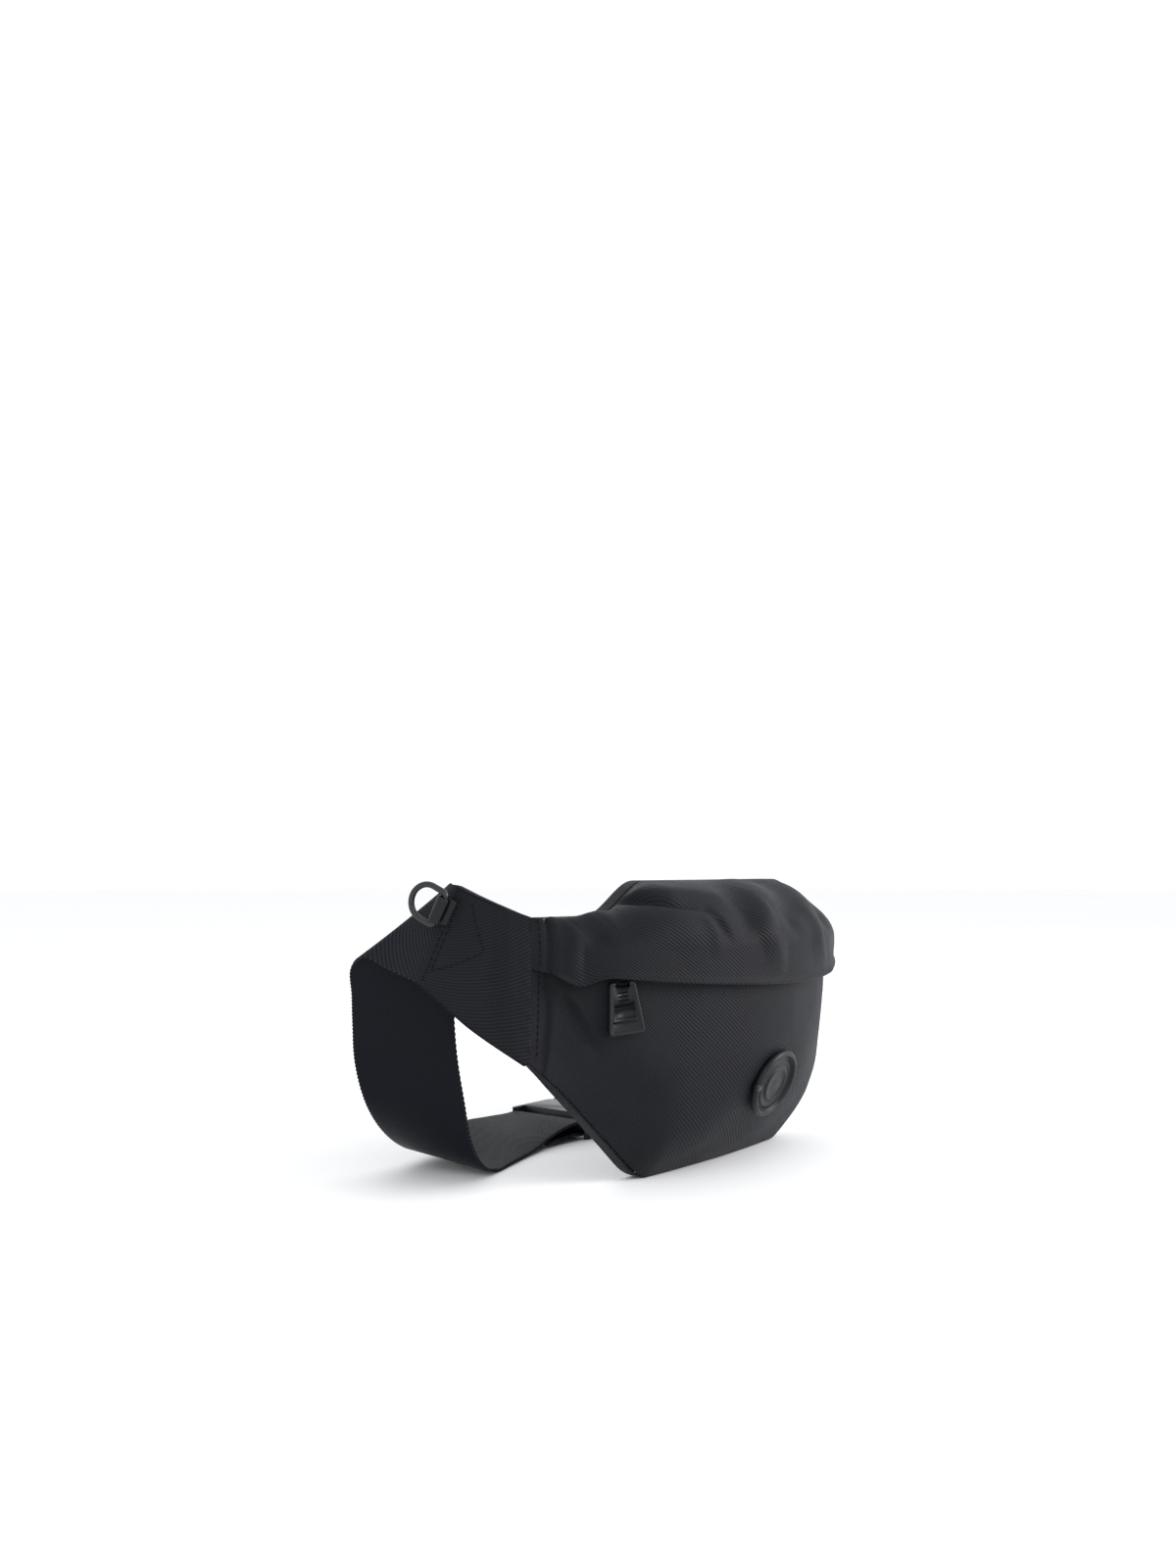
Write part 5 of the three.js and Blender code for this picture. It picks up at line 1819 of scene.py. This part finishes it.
@dataclass
class Hardware:
    """Moulded and metal pieces whose shapes the frame settles: they are copied, cleaned and bevelled."""

    maker: Maker
    nodes: dict[str, bpy.types.Object]
    keeper_room: tuple[float, float] = (1.05, 1.15)
    keeper_lift: float = 0.3
    bevels: dict[str, tuple[str, float, Cloth, str]] = field(default_factory=lambda: {
        "buckle_socket": ("root", 0.7, Cloth.PLASTIC, "buckle"),
        "buckle_insert": ("insert", 0.7, Cloth.PLASTIC, "buckle"),
        "prong_front": ("front_prong", 0.7, Cloth.PLASTIC, "buckle"),
        "prong_rear": ("rear_prong", 0.7, Cloth.PLASTIC, "buckle"),
        "zip_slider": ("slider", 0.3, Cloth.ZIP_METAL, "zip_metal"),
        "zip_stop_left": ("root", 0.2, Cloth.ZIP_METAL, "zip_metal"),
        "zip_stop_right": ("root", 0.2, Cloth.ZIP_METAL, "zip_metal"),
        "strap_keeper": ("keeper", 0.25, Cloth.WEBBING_BACK_PAINTED_SHADE, "webbing"),
    })

    def loosen(self, data: bpy.types.Mesh) -> None:
        """Widens the elastic keeper and lifts it a little, so that the belt slides through it.

        Args:
            data: the keeper's mesh, which is changed in place.
        """
        middle = sum((vertex.co for vertex in data.vertices), Vector()) / len(data.vertices)
        raised_middle = middle + Vector((0.0, 0.0, self.keeper_lift * METRES))
        for vertex in data.vertices:
            offset = vertex.co - middle
            wider = (offset.x, offset.y * self.keeper_room[0], offset.z * self.keeper_room[1])
            vertex.co = raised_middle + Vector(wider)

    def bevelled(self, node: str, width: float) -> bpy.types.Object:
        """Copies a node's mesh and rounds its edges.

        Args:
            node: the node.
            width: the bevel's width.

        Returns:
            The piece.
        """
        data = self.nodes[node].data.copy()
        shaped = bmesh.new()
        shaped.from_mesh(data)
        bmesh.ops.remove_doubles(shaped, verts=shaped.verts, dist=1e-6)
        flat = math.radians(2)
        bmesh.ops.dissolve_limit(shaped, angle_limit=flat, verts=shaped.verts, edges=shaped.edges)
        shaped.to_mesh(data)
        shaped.free()
        data.materials.clear()
        if node == "strap_keeper":
            self.loosen(data)
        piece = bpy.data.objects.new(f"{node}_moulding", data)
        bpy.context.scene.collection.objects.link(piece)
        bevel = piece.modifiers.new("edges", "BEVEL")
        bevel.width = width * METRES
        bevel.segments = 3
        bevel.limit_method = "ANGLE"
        bevel.angle_limit = math.radians(40)
        bevel.harden_normals = True
        apply_modifiers(piece)
        piece.data.shade_smooth()
        return piece

    def build(self) -> None:
        """Makes a bevelled piece with a cloth map for each node."""
        for node, (body, width, cloth, slot) in self.bevels.items():
            piece = self.bevelled(node, width)
            layer = piece.data.uv_layers.get(CLOTH_MAP) or piece.data.uv_layers.new(name=CLOTH_MAP)
            for corner, vertex in enumerate(loop.vertex_index for loop in piece.data.loops):
                place = piece.data.vertices[vertex].co
                layer.data[corner].uv = (place.x, place.y + place.z)
            self.maker.dress(piece, [cloth], body, slot, node)


# ---- Light, floor and camera -----------------------------------------------------------------------


@dataclass
class Studio:
    """A pale floor, soft lights and the camera."""

    maker: Maker
    camera_place: tuple[float, float, float] = (-619.0, -425.0, 154.9)
    azimuth: float = math.radians(37.98)
    elevation: float = math.radians(3.5)
    focal: float = 31.04
    floor_radius: float = 9000.0
    aim_height: float = 0.08
    sky: tuple[float, float, float, float] = (0.97, 0.982, 1.0, 1.0)
    sky_strength: float = 1.12

    def floor(self) -> None:
        """Makes the plain floor."""
        rim = np.pad(oval(64, self.floor_radius, self.floor_radius), ((0, 0), (0, 1)))
        made = self.maker.mesh("floor", rim, [tuple(range(len(rim)))])
        recipe = Recipe("pale_floor")
        cloud = recipe.noise(3.0, 3.0)
        made.data.materials.append(
            recipe.finish(
                Base_Color=recipe.blend((0.87, 0.87, 0.872), (0.90, 0.90, 0.90), cloud),
                Roughness=0.75 + cloud * 0.1,
                Specular_IOR_Level=0.2,
            )
        )

    def light(self, name: str, place: Sequence[float], size: float, power: float) -> None:
        """Adds a soft square light that faces the pack.

        Args:
            name: its name.
            place: its place in the frame, in metres.
            size: its side, in metres.
            power: its power, in watts.
        """
        data = bpy.data.lights.new(name, "AREA")
        data.shape = "SQUARE"
        data.size = size
        data.energy = power
        lamp = bpy.data.objects.new(name, data)
        lamp.location = place
        aim = Vector((0.0, 0.0, self.aim_height)) - Vector(place)
        lamp.rotation_euler = aim.to_track_quat("-Z", "Y").to_euler()
        bpy.context.scene.collection.objects.link(lamp)

    def build(self) -> None:
        """Sets the studio up."""
        scene = bpy.context.scene
        self.floor()
        world = bpy.data.worlds.new("studio")
        world.use_nodes = True
        background = world.node_tree.nodes["Background"]
        background.inputs["Color"].default_value = self.sky
        background.inputs["Strength"].default_value = self.sky_strength
        scene.world = world
        self.light("key", (0.75, -1.35, 0.75), 1.0, 26.0)
        self.light("fill", (-1.5, -0.7, 0.7), 1.4, 4.0)
        self.light("rim", (1.0, 1.2, 0.9), 0.9, 3.0)
        scene.view_settings.view_transform = "Standard"
        data = bpy.data.cameras.new("camera")
        data.sensor_width = 36.0
        data.sensor_fit = "AUTO"
        data.lens = self.focal
        data.clip_start = 0.01
        camera = bpy.data.objects.new("camera", data)
        camera.location = Vector((self.maker.origin + self.camera_place) * METRES)
        look = Vector((
            math.cos(self.elevation) * math.cos(self.azimuth),
            math.cos(self.elevation) * math.sin(self.azimuth),
            math.sin(self.elevation),
        ))
        camera.rotation_euler = look.to_track_quat("-Z", "Y").to_euler()
        scene.collection.objects.link(camera)
        scene.camera = camera


# ---- The whole pack ----------------------------------------------------------------------------------


def main() -> None:
    """Builds the pack's visible pieces around the frame."""
    logging.basicConfig(level=logging.INFO, format="%(message)s")
    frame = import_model()
    pattern = Pattern()
    panel_low, panel_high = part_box("front_panel")
    origin = (
        (panel_low.x + panel_high.x) / 2 / METRES,
        panel_low.y / METRES - (pattern.arc_centre_y - pattern.front_radius),
        0.0,
    )
    maker = Maker(origin, Wardrobe())
    Studio(maker).build()
    left = Wing(maker, pattern, "left", -1.0, 0.0)
    right = Wing(maker, pattern, "right", 1.0, 10.0)
    Belt(maker, left, right).build()
    Pouch(maker, pattern).build()
    BackPanel(maker, pattern).build()
    for wing in (left, right):
        wing.build()
    Ring(maker, left).build()
    Zip(maker, pattern).build()
    Badge(maker, pattern).build()
    Hardware(maker, frame["nodes"]).build()
    inside = {"back_lining": Cloth.LINING, "inner_pocket": Cloth.LINING, "back_foam": Cloth.FOAM}
    inside |= {"wing_left_foam": Cloth.FOAM, "wing_right_foam": Cloth.FOAM}
    for node, cloth in inside.items():
        frame["nodes"][node].data.materials.clear()
        frame["nodes"][node].data.materials.append(maker.wardrobe[cloth])


if __name__ == "__main__":
    main()
